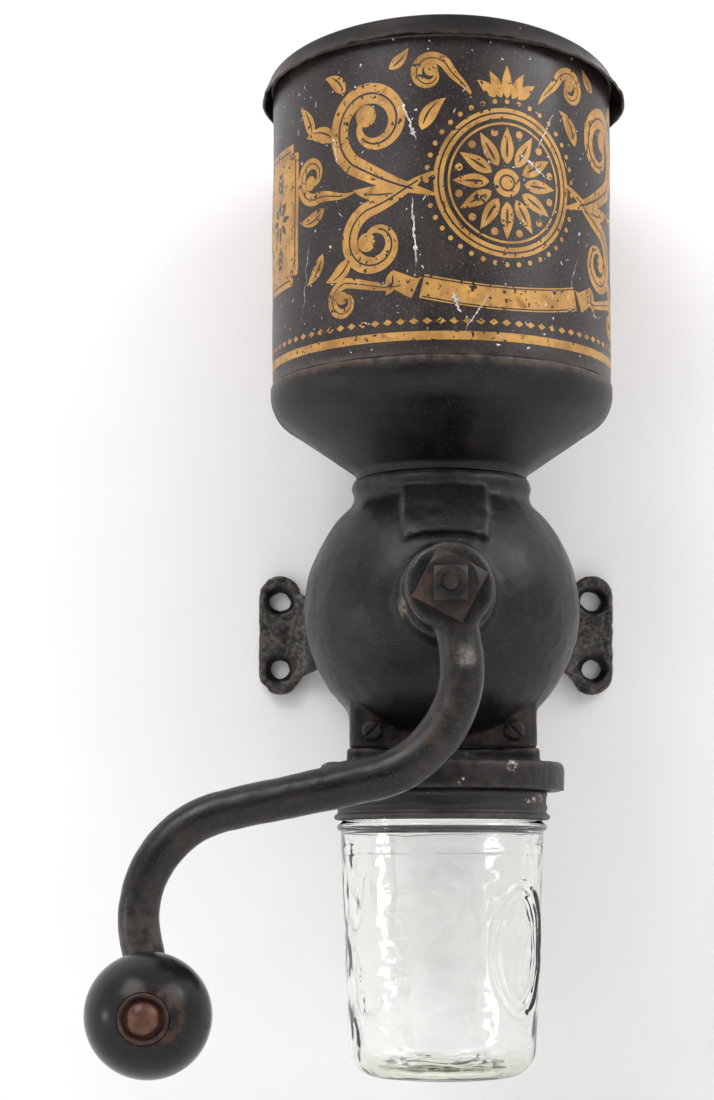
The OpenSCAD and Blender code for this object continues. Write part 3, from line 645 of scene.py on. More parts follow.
IRON = Finish(
    "ball_iron",
    (0.003, 0.0028, 0.003),
    (0.009, 0.0085, 0.0088),
    worn=(0.05, 0.044, 0.04),
    rust=(0.05, 0.031, 0.022),
    gloss=(0.32, 0.47),
    relief=0.2,
    rusting=0.1,
    chips=0.1,
    shine=0.25,
    dust=0.28,
)
HOPPER_IRON = Finish(
    "hopper_iron",
    (0.0025, 0.0023, 0.0024),
    (0.007, 0.0064, 0.0064),
    worn=(0.085, 0.055, 0.04),
    gloss=(0.32, 0.5),
    relief=0.2,
    rusting=0.1,
    shine=0.25,
    dust=0.25,
)
# The crank's worn and chip colours paint real wear and, on the arm's first bend, a painted highlight.
CRANK_IRON = Finish(
    "crank_iron",
    (0.003, 0.0028, 0.0029),
    (0.009, 0.0084, 0.0084),
    worn=(0.11, 0.1, 0.093),
    rust=(0.058, 0.036, 0.025),
    gloss=(0.23, 0.4),
    rusting=0.5,
    shine=0.3,
    dust=0.3,
)
TIN = Finish(
    "black_lacquer",
    (0.0105, 0.0072, 0.0065),
    (0.022, 0.0145, 0.0125),
    chip=(0.5, 0.47, 0.43),
    gloss=(0.3, 0.44),
    relief=0.05,
    chips=0.85,
    dust=0.5,
    dust_tone=(0.11, 0.095, 0.085),
)
LID_TIN = Finish(
    "lid_lacquer",
    (0.0038, 0.003, 0.0029),
    (0.0095, 0.0068, 0.0062),
    worn=(0.07, 0.045, 0.03),
    rust=(0.04, 0.022, 0.014),
    gloss=(0.3, 0.46),
    relief=0.1,
    rusting=0.5,
    chips=0.25,
    shine=0.2,
)
CAP_TIN = Finish(
    "jar_cap_black", (0.0075, 0.0068, 0.0064), (0.016, 0.0145, 0.0135), gloss=(0.4, 0.58),
    chips=0.5, dust=0.3,
)
GOLD = Finish(
    "gold_print",
    (0.27, 0.135, 0.034),
    (0.56, 0.305, 0.075),
    rust=(0.1, 0.047, 0.017),
    chip=(0.02, 0.014, 0.012),
    gloss=(0.34, 0.48),
    mottle=9.0,
    relief=0.03,
    rusting=0.75,
    chips=1.7,
    metallic=0.2,
    dust=0.35,
    dust_tone=(0.1, 0.055, 0.02),
)
SCRATCH = Finish("pale_scratch", (0.3, 0.28, 0.25), (0.62, 0.6, 0.56), relief=0.03, mottle=3.0)
STEEL = Finish(
    "browned_steel",
    (0.009, 0.008, 0.0076),
    (0.026, 0.02, 0.0175),
    rust=(0.085, 0.038, 0.02),
    gloss=(0.4, 0.6),
    mottle=5.0,
    rusting=0.3,
    metallic=0.15,
    shine=0.3,
)
RIVET_STEEL = Finish(
    "rusty_rivet", (0.045, 0.02, 0.013), (0.11, 0.044, 0.026), rust=(0.17, 0.062, 0.026), gloss=(0.28, 0.46),
    mottle=3.0, rusting=0.5, metallic=0.3,
)
CUP_STEEL = Finish(
    "rusty_cup", (0.017, 0.009, 0.0065), (0.06, 0.027, 0.017), rust=(0.1, 0.04, 0.02), gloss=(0.35, 0.55),
    mottle=4.0, rusting=0.4, metallic=0.2,
)
BARE = Finish(
    "burr_iron", (0.14, 0.135, 0.13), (0.26, 0.25, 0.24), rust=(0.12, 0.06, 0.03), gloss=(0.35, 0.5),
    mottle=8.0, rusting=0.3, metallic=0.9,
)
KNOB_LACQUER = Finish(
    "knob_lacquer", (0.004, 0.004, 0.0042), (0.009, 0.0086, 0.0086), rust=(0.06, 0.028, 0.014),
    gloss=(0.16, 0.27), relief=0.05, chips=0.1, shine=0.2, dust=0.08,
)
CLEAR = Glass("jar_clear_glass", (0.88, 0.91, 0.8), (1.0, 1.0, 1.0), relief=0.3, shine=0.4)


# Sub-assemblies


@dataclass
class Body:
    """The ball-shaped casting, its spout, ears and straps."""

    ball_r: float = 57.0
    neck_r: float = 36.5
    boss_r: float = 19.3
    spout_half: float = 38.3
    spout_front: float = -20.0
    strap_out: float = 51.0
    ear_front: float = 71.0
    ear_mid: float = -3.0
    hole_at: Pair = (69.5, 15.2)
    sink_r: float = 6.6
    square: float = 1.13
    skin: Waves = ((0.35, 14.0), (0.2, 5.0))
    nibble: Waves = ((1.3, 6.0), (0.5, 2.5))

    def soft(self, p: np.ndarray) -> np.ndarray:
        """Weights of the corners that the casting fills with a broad fillet."""
        x, y, z = np.abs(p[:, 0]), p[:, 1], p[:, 2]

        def meet(radius: float) -> float:
            """Where the ball's surface is, at a radius from one of its axes."""
            return math.sqrt(self.ball_r**2 - radius**2)

        boss = fade(np.hypot(np.hypot(x, z) - self.boss_r, y + meet(self.boss_r)), 0.0, 9.0)
        side = np.hypot(x - self.spout_half, np.hypot(y, z) - meet(self.spout_half))
        spout = fade(side, 2.0, 13.0) * (z < -12.0) * (y > self.spout_front + 5.0)
        neck = fade(np.hypot(np.hypot(x, y) - self.neck_r, z - meet(self.neck_r)), 1.0, 7.0)
        neck = neck * ((y > -30.0) | (x > 20.0)) * (z < 47.0)
        strap = fade(np.hypot(x - self.strap_out, np.hypot(y, z) - meet(self.strap_out)), 1.0, 8.0)
        pad = 0.3 * (x < 24.0) * (y < -20.0) * (z > 34.0)
        return np.maximum.reduce([boss, spout, neck, strap, pad])

    def uneven(self, p: np.ndarray) -> np.ndarray:
        """How far the skin stands in or out, with rough ears whose edges are nibbled."""
        ears = fade(p[:, 1], self.ear_front - 1.0, self.ear_front - 4.0)
        ears = ears * (np.abs(p[:, 0]) > self.strap_out)
        nibbles = -sum(depth * np.maximum(0.0, grain(p, wave)) for depth, wave in self.nibble)
        return (1.0 - ears) * waves(p, self.skin) + ears * nibbles

    def build(self) -> None:
        """Makes the casting and marks its rough, rusty places."""
        nodes = ["front_casting", "rear_casting"]
        shell = Bench.casting("body_shell", nodes, self.square, 3, self.soft)
        Bench.push(shell, self.uneven)
        p = Bench.points(shell)
        x, y, z = np.abs(p[:, 0]), p[:, 1], p[:, 2]
        panel = fade(np.abs(y - self.spout_front), 0.8, 2.5) * fade(z, -38.0, -33.0) * (x < 36.0)
        Bench.mark(shell, Mark.RUST, 0.55 * panel)
        ears = fade(x, self.strap_out + 8.0, self.strap_out + 3.0)
        ears = ears * fade(y, self.ear_front - 3.0, self.ear_front - 8.0)
        sinks = np.hypot(x - self.hole_at[0], np.abs(z - self.ear_mid) - self.hole_at[1])
        ears = ears * fade(sinks, self.sink_r + 1.0, self.sink_r - 0.5)
        Bench.rub(shell, 0.7 * ears)
        chipped = fade(np.hypot(p[:, 0] + self.boss_r, z + 6.0), 1.0, 5.0) * (y < -self.ball_r)
        Bench.mark(shell, Mark.FLAKE, np.maximum(0.12 * ears, 0.7 * chipped))
        fit(shell, "mill_body", IRON, nodes)


@dataclass
class Hopper:
    """The flared cast bowl between the ball and the canister."""

    rim_r: float = 71.3
    wall: float = 4.0
    foot_r: float = 35.4
    foot_z: float = 54.0
    slope: float = 34.0
    fillet: float = 4.0
    shoulder: float = 15.0
    ledge_z: float = 92.82
    rim_h: float = 4.0
    upstand_r: float = 69.6
    upstand_h: float = 8.0
    throat_r: float = 27.0
    spigot_r: float = 31.0
    spigot_low: float = 42.0
    rim_round: float = 1.4
    skin: Waves = ((0.3, 22.0), (0.12, 7.0))
    shrink: float = 0.1

    def profile(self) -> list[Pair]:
        """The bowl's closed section, from the spigot up the outside and down the inside."""
        mid = (self.rim_r - self.shoulder, self.ledge_z - self.rim_h)
        low = (self.foot_r + self.fillet, self.foot_z + 0.5)
        top = self.ledge_z + self.upstand_h
        inside = arc(mid, self.shoulder - self.wall, 0.0, self.slope - 90.0, 14)
        throat_z = inside[-1][1] - (inside[-1][0] - self.throat_r) * math.tan(math.radians(self.slope))
        outer = arc(low, self.fillet, 180.0, 90.0 + self.slope, 10)
        shoulder = arc(mid, self.shoulder, self.slope - 90.0, 0.0, 22)
        run = np.linspace(outer[-1], shoulder[0], 6)[1:-1]
        return [
            (self.spigot_r, self.spigot_low),
            (self.spigot_r, self.foot_z),
            (self.foot_r, self.foot_z),
            *outer,
            *[tuple(q) for q in run],
            *shoulder,
            *arc((self.rim_r - self.rim_round, self.ledge_z - self.rim_round), self.rim_round, 0.0, 90.0, 5),
            (self.upstand_r, self.ledge_z),
            (self.upstand_r, top),
            (self.rim_r - self.wall, top),
            *inside,
            (self.throat_r, throat_z),
            (self.throat_r, self.spigot_low),
            (self.spigot_r, self.spigot_low),
        ]

    def build(self) -> None:
        """Makes the bowl with the slight waves and pits of a sand casting."""
        bowl = Bench.lathe("hopper_bowl", self.profile(), steps=160)
        Bench.push(bowl, lambda p: (p[:, 2] > self.foot_z + 1.0) * waves(p, self.skin) - self.shrink)
        p = Bench.points(bowl)
        radius = np.hypot(p[:, 0], p[:, 1])
        edge = fade(np.abs(p[:, 2] - self.ledge_z + 1.0), 0.2, 1.6) * (radius > self.rim_r - 2.5)
        Bench.mark(bowl, Mark.WEAR, 0.8 * edge)
        fit(bowl, "mill_body", HOPPER_IRON, ["hopper"])


@dataclass
class Canister:
    """The tin bean canister, its gold print and its scratches."""

    radius: float = 70.4
    low: float = 92.82
    height: float = 126.7
    sheet: float = 0.6
    curl: float = 1.1
    seam: float = 6.0
    lap: float = 0.5
    dents: float = 0.55

    def dent(self, angle: np.ndarray, up: np.ndarray) -> np.ndarray:
        """How far the sheet stands in or out at an angle from the front and a height, in millimetres."""
        rings = np.stack([3.0 * np.cos(angle), 3.0 * np.sin(angle), up / 40.0], axis=1)
        hold = fade(up, 12.0, 2.0) * fade(up, self.height - 14.0, self.height - 4.0)
        return self.dents * hold * (grain(rings, 1.0) - 0.1)

    def wrap(self, flat: np.ndarray, lift: float) -> np.ndarray:
        """Bends a drawing round the sheet.

        Args:
            flat: Place to the right of the front and height above the foot, for each point.
            lift: Distance out from the sheet.

        Returns:
            The points in space.
        """
        angle = flat[:, 0] / self.radius
        r = self.radius + lift + self.dent(angle, flat[:, 1])
        return np.stack([r * np.sin(angle), -r * np.cos(angle), self.low + flat[:, 1]], axis=1)

    def build(self) -> None:
        """Makes the canister's wall, print and scratches."""
        top = self.low + self.height
        rows = [self.low + 0.4 + (self.height - 3.2) * i / 48.0 for i in range(49)]
        inner = self.radius - self.sheet
        profile = [
            (inner, self.low),
            (self.radius - 0.15, self.low),
            *[(self.radius, z) for z in rows],
            *arc((self.radius, top - self.curl), self.curl, -90.0, 90.0, 10),
            (inner, top),
            *[(inner, z) for z in reversed(rows)],
            (inner, self.low),
        ]
        wall = Bench.lathe("canister_wall", profile, steps=180)
        p = Bench.points(wall)
        angle, radius = np.arctan2(p[:, 0], -p[:, 1]), np.hypot(p[:, 0], p[:, 1])
        back = np.abs(np.abs(angle) - math.pi) * self.radius
        lap = self.lap * fade(back, self.seam / 2.0 - 0.6, self.seam / 2.0 + 0.6)
        lap = lap * (radius > self.radius - 0.3) * (p[:, 2] < top - 2.0 * self.curl - 1.0)
        Bench.put(wall, p + outward(angle) * (self.dent(angle, p[:, 2] - self.low) + lap)[:, None])
        foot = fade(p[:, 2], self.low, self.low + 3.0)
        Bench.mark(wall, Mark.WEAR, 0.5 * foot * (radius > inner + 0.3))
        fit(wall, "mill_body", TIN, ["canister"])
        Print(self).build()


class Drawing:
    """Flat strokes, kept as strips of squares until they are wrapped round the canister."""

    square: float = 1.6

    def __init__(self) -> None:
        """Starts an empty drawing."""
        self.points: list[Pair] = []
        self.faces: list[tuple[int, ...]] = []

    def strip(self, rows: Sequence[Sequence[Pair]]) -> None:
        """Adds a grid of points as squares.

        Args:
            rows: Points across the strip, one row after another.
        """
        base, wide = len(self.points), len(rows[0])
        self.points += [p for row in rows for p in row]
        for i in range(len(rows) - 1):
            for j in range(wide - 1):
                a = base + i * wide + j
                self.faces.append((a, a + 1, a + wide + 1, a + wide))

    def stroke(self, path: Sequence[Pair], widths: Sequence[float]) -> None:
        """Adds a stroke of changing width.

        Args:
            path: Its centre line.
            widths: Its width at each point.
        """
        line = np.array(path)
        way = np.gradient(line, axis=0)
        way /= np.maximum(np.linalg.norm(way, axis=1, keepdims=True), 1e-9)
        side = np.stack([way[:, 1], -way[:, 0]], axis=1)
        across = max(2, int(max(widths) / self.square) + 2)
        shares = np.linspace(-0.5, 0.5, across)
        self.strip([[tuple(p + n * w * s) for s in shares] for p, n, w in zip(line, side, widths)])

    def disc(self, mid: Pair, radius: float, hole: float = 0.0, steps: int = 40) -> None:
        """Adds a round spot, or a ring where it has a hole."""
        rings = max(2, int((radius - hole) / self.square) + 2)
        spread = np.linspace(hole, radius, rings)
        self.strip([[polar(mid, r, 360.0 * i / steps) for r in spread] for i in range(steps + 1)])

    def leaf(self, base: Pair, way: float, length: float, width: float, bend: float = 0.0) -> None:
        """Adds a pointed leaf.

        Args:
            base: Its root.
            way: Its direction in degrees.
            length: Its length.
            width: Its greatest width.
            bend: How far it turns along its length, in degrees.
        """
        steps = 12
        path = [base]
        for i in range(steps):
            path.append(polar(path[-1], length / steps, way + bend * (i + 0.5) / steps))
        shape = [width * math.sin(math.pi * (i / steps) ** 0.75) + 0.15 for i in range(steps + 1)]
        self.stroke(path, shape)

    def scroll(
        self, start: Pair, way: float, mid: Pair, radius: float, first: float, sweep: float, width: float
    ) -> list[Pair]:
        """Adds a stem that runs into a spiral and ends in an eye.

        Args:
            start: Where the stem begins.
            way: Its first direction in degrees.
            mid: The spiral's middle.
            radius: The spiral's outer radius.
            first: Angle at which the stem joins the spiral, in degrees.
            sweep: How far the spiral turns, in degrees, with its sign.
            width: The stroke's greatest width.

        Returns:
            The stroke's centre line.
        """
        shares = [i / 60.0 for i in range(61)]
        spiral = [polar(mid, radius * (1.0 - 0.74 * t**0.8), first + sweep * t) for t in shares]
        p0, p3 = np.array(start), np.array(spiral[0])
        reach = 0.45 * np.linalg.norm(p3 - p0)
        p1 = np.array(polar(start, reach, way))
        p2 = np.array(polar(spiral[0], -reach, first + math.copysign(90.0, sweep)))
        stem = []
        for i in range(24):
            t = i / 24.0
            s = 1.0 - t
            stem.append(tuple(s**3 * p0 + 3 * s * s * t * p1 + 3 * s * t * t * p2 + t**3 * p3))
        path = stem + spiral
        swell = [math.sin(math.pi * min(1.0, i / (len(path) - 1)) ** 0.8) for i in range(len(path))]
        self.stroke(path, [0.5 + (width - 0.5) * s for s in swell])
        self.disc(spiral[-1], 0.45 * width + 0.6, steps=20)
        return path

    def mirrored(self) -> "Drawing":
        """A copy turned over about the upright line through its origin."""
        other = Drawing()
        other.points = [(-x, y) for x, y in self.points]
        other.faces = [tuple(reversed(f)) for f in self.faces]
        return other

    def take(self, other: "Drawing", shift: Pair = (0.0, 0.0)) -> None:
        """Adds another drawing's strokes, moved right and up."""
        base = len(self.points)
        self.points += [(x + shift[0], y + shift[1]) for x, y in other.points]
        self.faces += [tuple(i + base for i in f) for f in other.faces]


@dataclass
class Print:
    """Scrolls, leaves, a rosette, blank ribbons and panels printed in gold on the canister."""

    canister: Canister
    centre: Pair = (24.0, 68.0)
    lift: float = 0.07
    ink_lift: float = 0.11
    scratch_lift: float = 0.15
    panel_drop: float = 4.0
    stripe: Place = (5.4, 7.1, 8.8)
    lozenge_at: float = 12.8
    lozenge: Pair = (1.9, 1.3)
    lozenges: int = 84

    def half(self) -> tuple[Drawing, Drawing]:
        """The strokes to the right of the rosette, with the rosette's middle at the origin.

        Returns:
            Their gold ground, and the ink lines on it.
        """
        gold, ink = Drawing(), Drawing()
        for start, way, mid, radius, first, sweep, width in (
            ((27.0, -6.0), 15.0, (54.0, 24.0), 17.5, -60.0, 470.0, 8.4),
            ((27.0, 4.0), -20.0, (53.0, -23.0), 13.5, 75.0, -430.0, 7.0),
            ((14.0, 33.0), 60.0, (31.0, 42.0), 7.6, 150.0, -400.0, 4.6),
            ((62.0, -2.0), -15.0, (84.0, 8.0), 9.5, -100.0, 400.0, 5.2),
            ((34.0, -38.0), -25.0, (67.0, -45.0), 7.5, 100.0, -400.0, 4.4),
        ):
            path = gold.scroll(start, way, mid, radius, first, sweep, width)
            ink.stroke(path[6:-14], [0.1 * width] * len(path[6:-14]))
        for base, way, length, width, bend in (
            ((71.0, 20.0), 40.0, 18.0, 6.4, -50.0),
            ((67.0, 38.0), 70.0, 13.0, 5.6, -60.0),
            ((34.0, 20.0), 105.0, 16.0, 6.0, 45.0),
            ((42.0, -4.0), -5.0, 21.0, 6.4, 25.0),
            ((64.0, -28.0), -60.0, 15.0, 6.0, 55.0),
            ((46.0, -35.0), -100.0, 10.0, 5.0, 50.0),
            ((77.0, -6.0), -40.0, 16.0, 5.4, 60.0),
            ((78.0, -24.0), -70.0, 15.0, 5.0, 40.0),
            ((47.0, 45.0), 150.0, 11.0, 4.4, -30.0),
            ((84.0, 24.0), 80.0, 16.0, 5.4, -40.0),
        ):
            gold.leaf(base, way, length, width, bend)
            ink.leaf(polar(base, 0.15 * length, way), way, 0.65 * length, 0.6, 0.8 * bend)
        return gold, ink

    def ribbon(self) -> tuple[Drawing, Drawing]:
        """A blank ribbon below the rosette.

        Returns:
            Its gold ground, and the ink lines on it.
        """
        gold, ink = Drawing(), Drawing()
        middle = [(x, -45.5 + 0.0035 * x * x) for x in np.linspace(-34.0, 34.0, 41)]
        gold.stroke(middle, [9.5] * len(middle))
        for side in (-4.0, 4.0):
            ink.stroke([(x, y + side) for x, y in middle], [0.5] * len(middle))
        for s in (-1.0, 1.0):
            tail = [(s * x, -47.0 + 0.006 * x * x - 3.5) for x in np.linspace(36.5, 47.0, 8)]
            gold.stroke(tail, [8.0 - 0.25 * i for i in range(len(tail))])
        return gold, ink

    def rosette(self) -> tuple[Drawing, Drawing]:
        """The round ornament in the middle.

        Returns:
            Its gold ground, and the ink lines on it.
        """
        gold, ink = Drawing(), Drawing()
        mid = (0.0, 0.0)
        gold.disc(mid, 29.5, 25.5, 96)
        gold.disc(mid, 23.9, 23.0, 96)
        ink.disc(mid, 27.9, 27.2, 96)
        for way in range(0, 360, 30):
            gold.leaf(polar(mid, 7.5, way), way, 14.5, 5.4)
            ink.leaf(polar(mid, 10.0, way), way, 8.0, 0.9)
            gold.disc(polar(mid, 20.2, way + 15.0), 1.5, steps=16)
        for way in range(0, 360, 9):
            gold.disc(polar(mid, 32.2, way), 1.0, steps=12)
        gold.disc(mid, 5.6, steps=32)
        ink.disc(mid, 3.4, 2.6, 32)
        for i in range(-2, 3):
            gold.leaf((2.4 * i, 33.5), 90.0 - 19.0 * i, 13.0 - 1.6 * abs(i), 4.2, -12.0 * i)
        return gold, ink

    def panel(self) -> tuple[Drawing, Drawing]:
        """A blank upright panel with notched corners.

        Returns:
            Its gold ground, and the ink lines on it.
        """
        gold, ink = Drawing(), Drawing()
        w, h, n = 17.0, 29.0, 4.0
        inset, gap, fine = 2.6, 6.6, 0.7
        gold.strip([[(x, y) for x in np.linspace(-w + n, w - n, 18)] for y in np.linspace(-h, h, 30)])
        for s in (-1.0, 1.0):
            flank = np.linspace(s * (w - n), s * w, 4)
            gold.strip([[(x, y) for x in flank] for y in np.linspace(-h + n, h - n, 28)])
            ink.stroke([(s * (w - inset), y) for y in np.linspace(-h + gap, h - gap, 30)], [fine] * 30)
            ink.stroke([(x, s * (h - inset)) for x in np.linspace(-w + gap, w - gap, 20)], [fine] * 20)
            for t in (-1.0, 1.0):
                ink.disc((s * (w - 5.0), t * (h - 5.0)), 1.5, 0.8, 16)
        for way in range(0, 360, 45):
            ink.leaf(polar((0.0, 0.0), 2.4, way), way, 7.0, 2.4)
        for s in (-1.0, 1.0):
            for k in range(3):
                root = (0.0, s * (12.0 + 3.0 * k))
                ink.leaf(root, s * 35.0, 5.0 - k, 1.6, s * 30.0)
                ink.leaf(root, 180.0 - s * 35.0, 5.0 - k, 1.6, -s * 30.0)
        return gold, ink

    def build(self) -> None:
        """Draws both layers, wraps them and lays the scratches over them."""
        gold, ink = Drawing(), Drawing()
        turn = math.pi * self.canister.radius
        x0, y0 = self.centre
        unit = self.rosette()
        for whole, half, ribbon in zip(unit, self.half(), self.ribbon()):
            for part in (half, half.mirrored(), ribbon):
                whole.take(part)
        panel = self.panel()
        for k in range(2):
            for layer, whole, plate in zip((gold, ink), unit, panel):
                layer.take(whole, (x0 + k * turn, y0))
                layer.take(plate, (x0 + (k - 0.5) * turn, y0 - self.panel_drop))
        ring = np.linspace(0.0, 2.0 * turn, 181)
        gold.strip([[(x, y) for y in self.stripe] for x in ring])
        w, h = self.lozenge
        for i in range(self.lozenges):
            x, y = 2.0 * turn * (i + 0.5) / self.lozenges, self.lozenge_at
            gold.strip([[(x - w, y), (x, y - h)], [(x, y + h), (x + w, y)]])
        for name, layer, lift, finish in (
            ("canister_gold_print", gold, self.lift, GOLD),
            ("canister_ink_lines", ink, self.ink_lift, TIN),
        ):
            piece = Bench.sheet(name, self.canister.wrap(np.array(layer.points), lift), layer.faces)
            fit(piece, "mill_body", finish)
        self.scratches()

    def scratches(self) -> None:
        """Lays a few long scratches and flakes and many short nicks over the print."""
        pen = Drawing()
        for start, end, width in (
            ((-18.0, 100.0), (-12.0, 84.0), 2.2),
            ((-14.0, 62.0), (-12.0, 34.0), 1.7),
            ((30.0, 80.0), (42.0, 72.0), 1.3),
            ((2.0, 24.0), (5.0, 16.0), 2.4),
            ((18.0, 26.0), (6.0, 8.0), 0.7),
            ((46.0, 100.0), (37.0, 82.0), 0.7),
            ((-48.0, 90.0), (-46.0, 78.0), 1.0),
            ((60.0, 44.0), (51.0, 20.0), 0.5),
            ((-62.0, 50.0), (-66.0, 22.0), 0.5),
        ):
            steps = 48
            line = np.linspace(start, end, steps)
            along = [noise.noise(Vector((i / 7.0, start[0], start[1]))) for i in range(steps)]
            size = [abs(noise.noise(Vector((i / 4.0, end[0], end[1] + 9.0)))) for i in range(steps)]
            ends = [min(1.0, 6.0 * i / steps, 6.0 * (steps - 1 - i) / steps) for i in range(steps)]
            path = [(x + 1.3 * a, y) for (x, y), a in zip(line, along)]
            pen.stroke(path, [max(0.06, width * e * (0.2 + 1.6 * w)) for w, e in zip(size, ends)])
        chance = np.random.default_rng(7)
        for _ in range(90):
            x, y = chance.uniform(-150.0, 150.0), chance.uniform(2.0, 108.0)
            way, length = chance.uniform(0.0, math.pi), chance.uniform(0.6, 3.4)
            end = (x + length * math.cos(way), y + length * math.sin(way))
            pen.stroke(np.linspace((x, y), end, 4).tolist(), [0.1, 0.4, 0.3, 0.08])
        points = self.canister.wrap(np.array(pen.points), self.scratch_lift)
        piece = Bench.sheet("canister_scratches", points, pen.faces)
        fit(piece, "mill_body", SCRATCH)


@dataclass
class Lid:
    """The slip-on lid of the canister."""

    dome_r: float = 70.2
    top: float = 220.42
    sheet: float = 0.6
    rise: float = 4.0
    corner: float = 2.2
    curl: float = 0.55
    curl_r: float = 74.1
    rim: float = 212.42
    bend: float = 6.3
    sag: float = 2.4
    skirt_bend: Pair = (73.3, 216.4)

    def build(self) -> None:
        """Makes the lid, with a slightly crumpled rim, its front bent up and its right side sagging."""

        def dome(top: float) -> list[Pair]:
            """Points of the dome from its middle to its corner."""
            shares = [i / 16.0 for i in range(16)]
            return [(self.dome_r * s, top + self.rise * (1.0 - s * s)) for s in shares]

        mid = (self.dome_r, self.top - self.corner)
        profile = [
            *dome(self.top),
            *arc(mid, self.corner, 90.0, 10.0, 8),
            self.skirt_bend,
            *arc((self.curl_r, self.rim + self.curl), self.curl, 60.0, -180.0, 12),
            *arc(mid, self.corner - self.sheet, 0.0, 90.0, 8),
            *reversed(dome(self.top - self.sheet)),
        ]
        lid = Bench.lathe("lid_cap", profile, steps=180)
        p = Bench.points(lid)
        angle = np.arctan2(p[:, 0], -p[:, 1])
        around = np.stack([2.4 * np.cos(angle), 2.4 * np.sin(angle), 0.0 * angle], axis=1)
        skirt = fade(p[:, 2], self.rim, self.top - self.corner)
        radius = np.hypot(p[:, 0], p[:, 1])
        middle = fade(radius, 40.0, 66.0)
        edge = fade(p[:, 2], self.rim + 0.2, self.rim + 1.2)
        kinks = grain(5.0 * around, 1.0)
        front = np.clip(-p[:, 1] / self.curl_r, 0.0, 1.0) ** 1.4
        p[:, 2] += 0.5 * skirt * grain(around + 7.0, 1.0) + 0.5 * middle * grain(p * (1.0, 1.0, 0.0), 30.0)
        right = np.clip(p[:, 0] / self.curl_r, 0.0, 1.0) ** 2
        p[:, 2] += 0.9 * skirt * kinks + self.bend * front * (1.0 - 0.15 * skirt) - self.sag * right
        flare = 0.007 * (0.3 + grain(around, 1.0)) + 0.006 * kinks + 0.025 * right
        p[:, :2] *= (1.0 + skirt * flare)[:, None]
        Bench.put(lid, p)
        Bench.mark(lid, Mark.WEAR, np.maximum(0.8 * edge, 0.15 * middle))
        fit(lid, "lid", LID_TIN, ["canister_lid"])


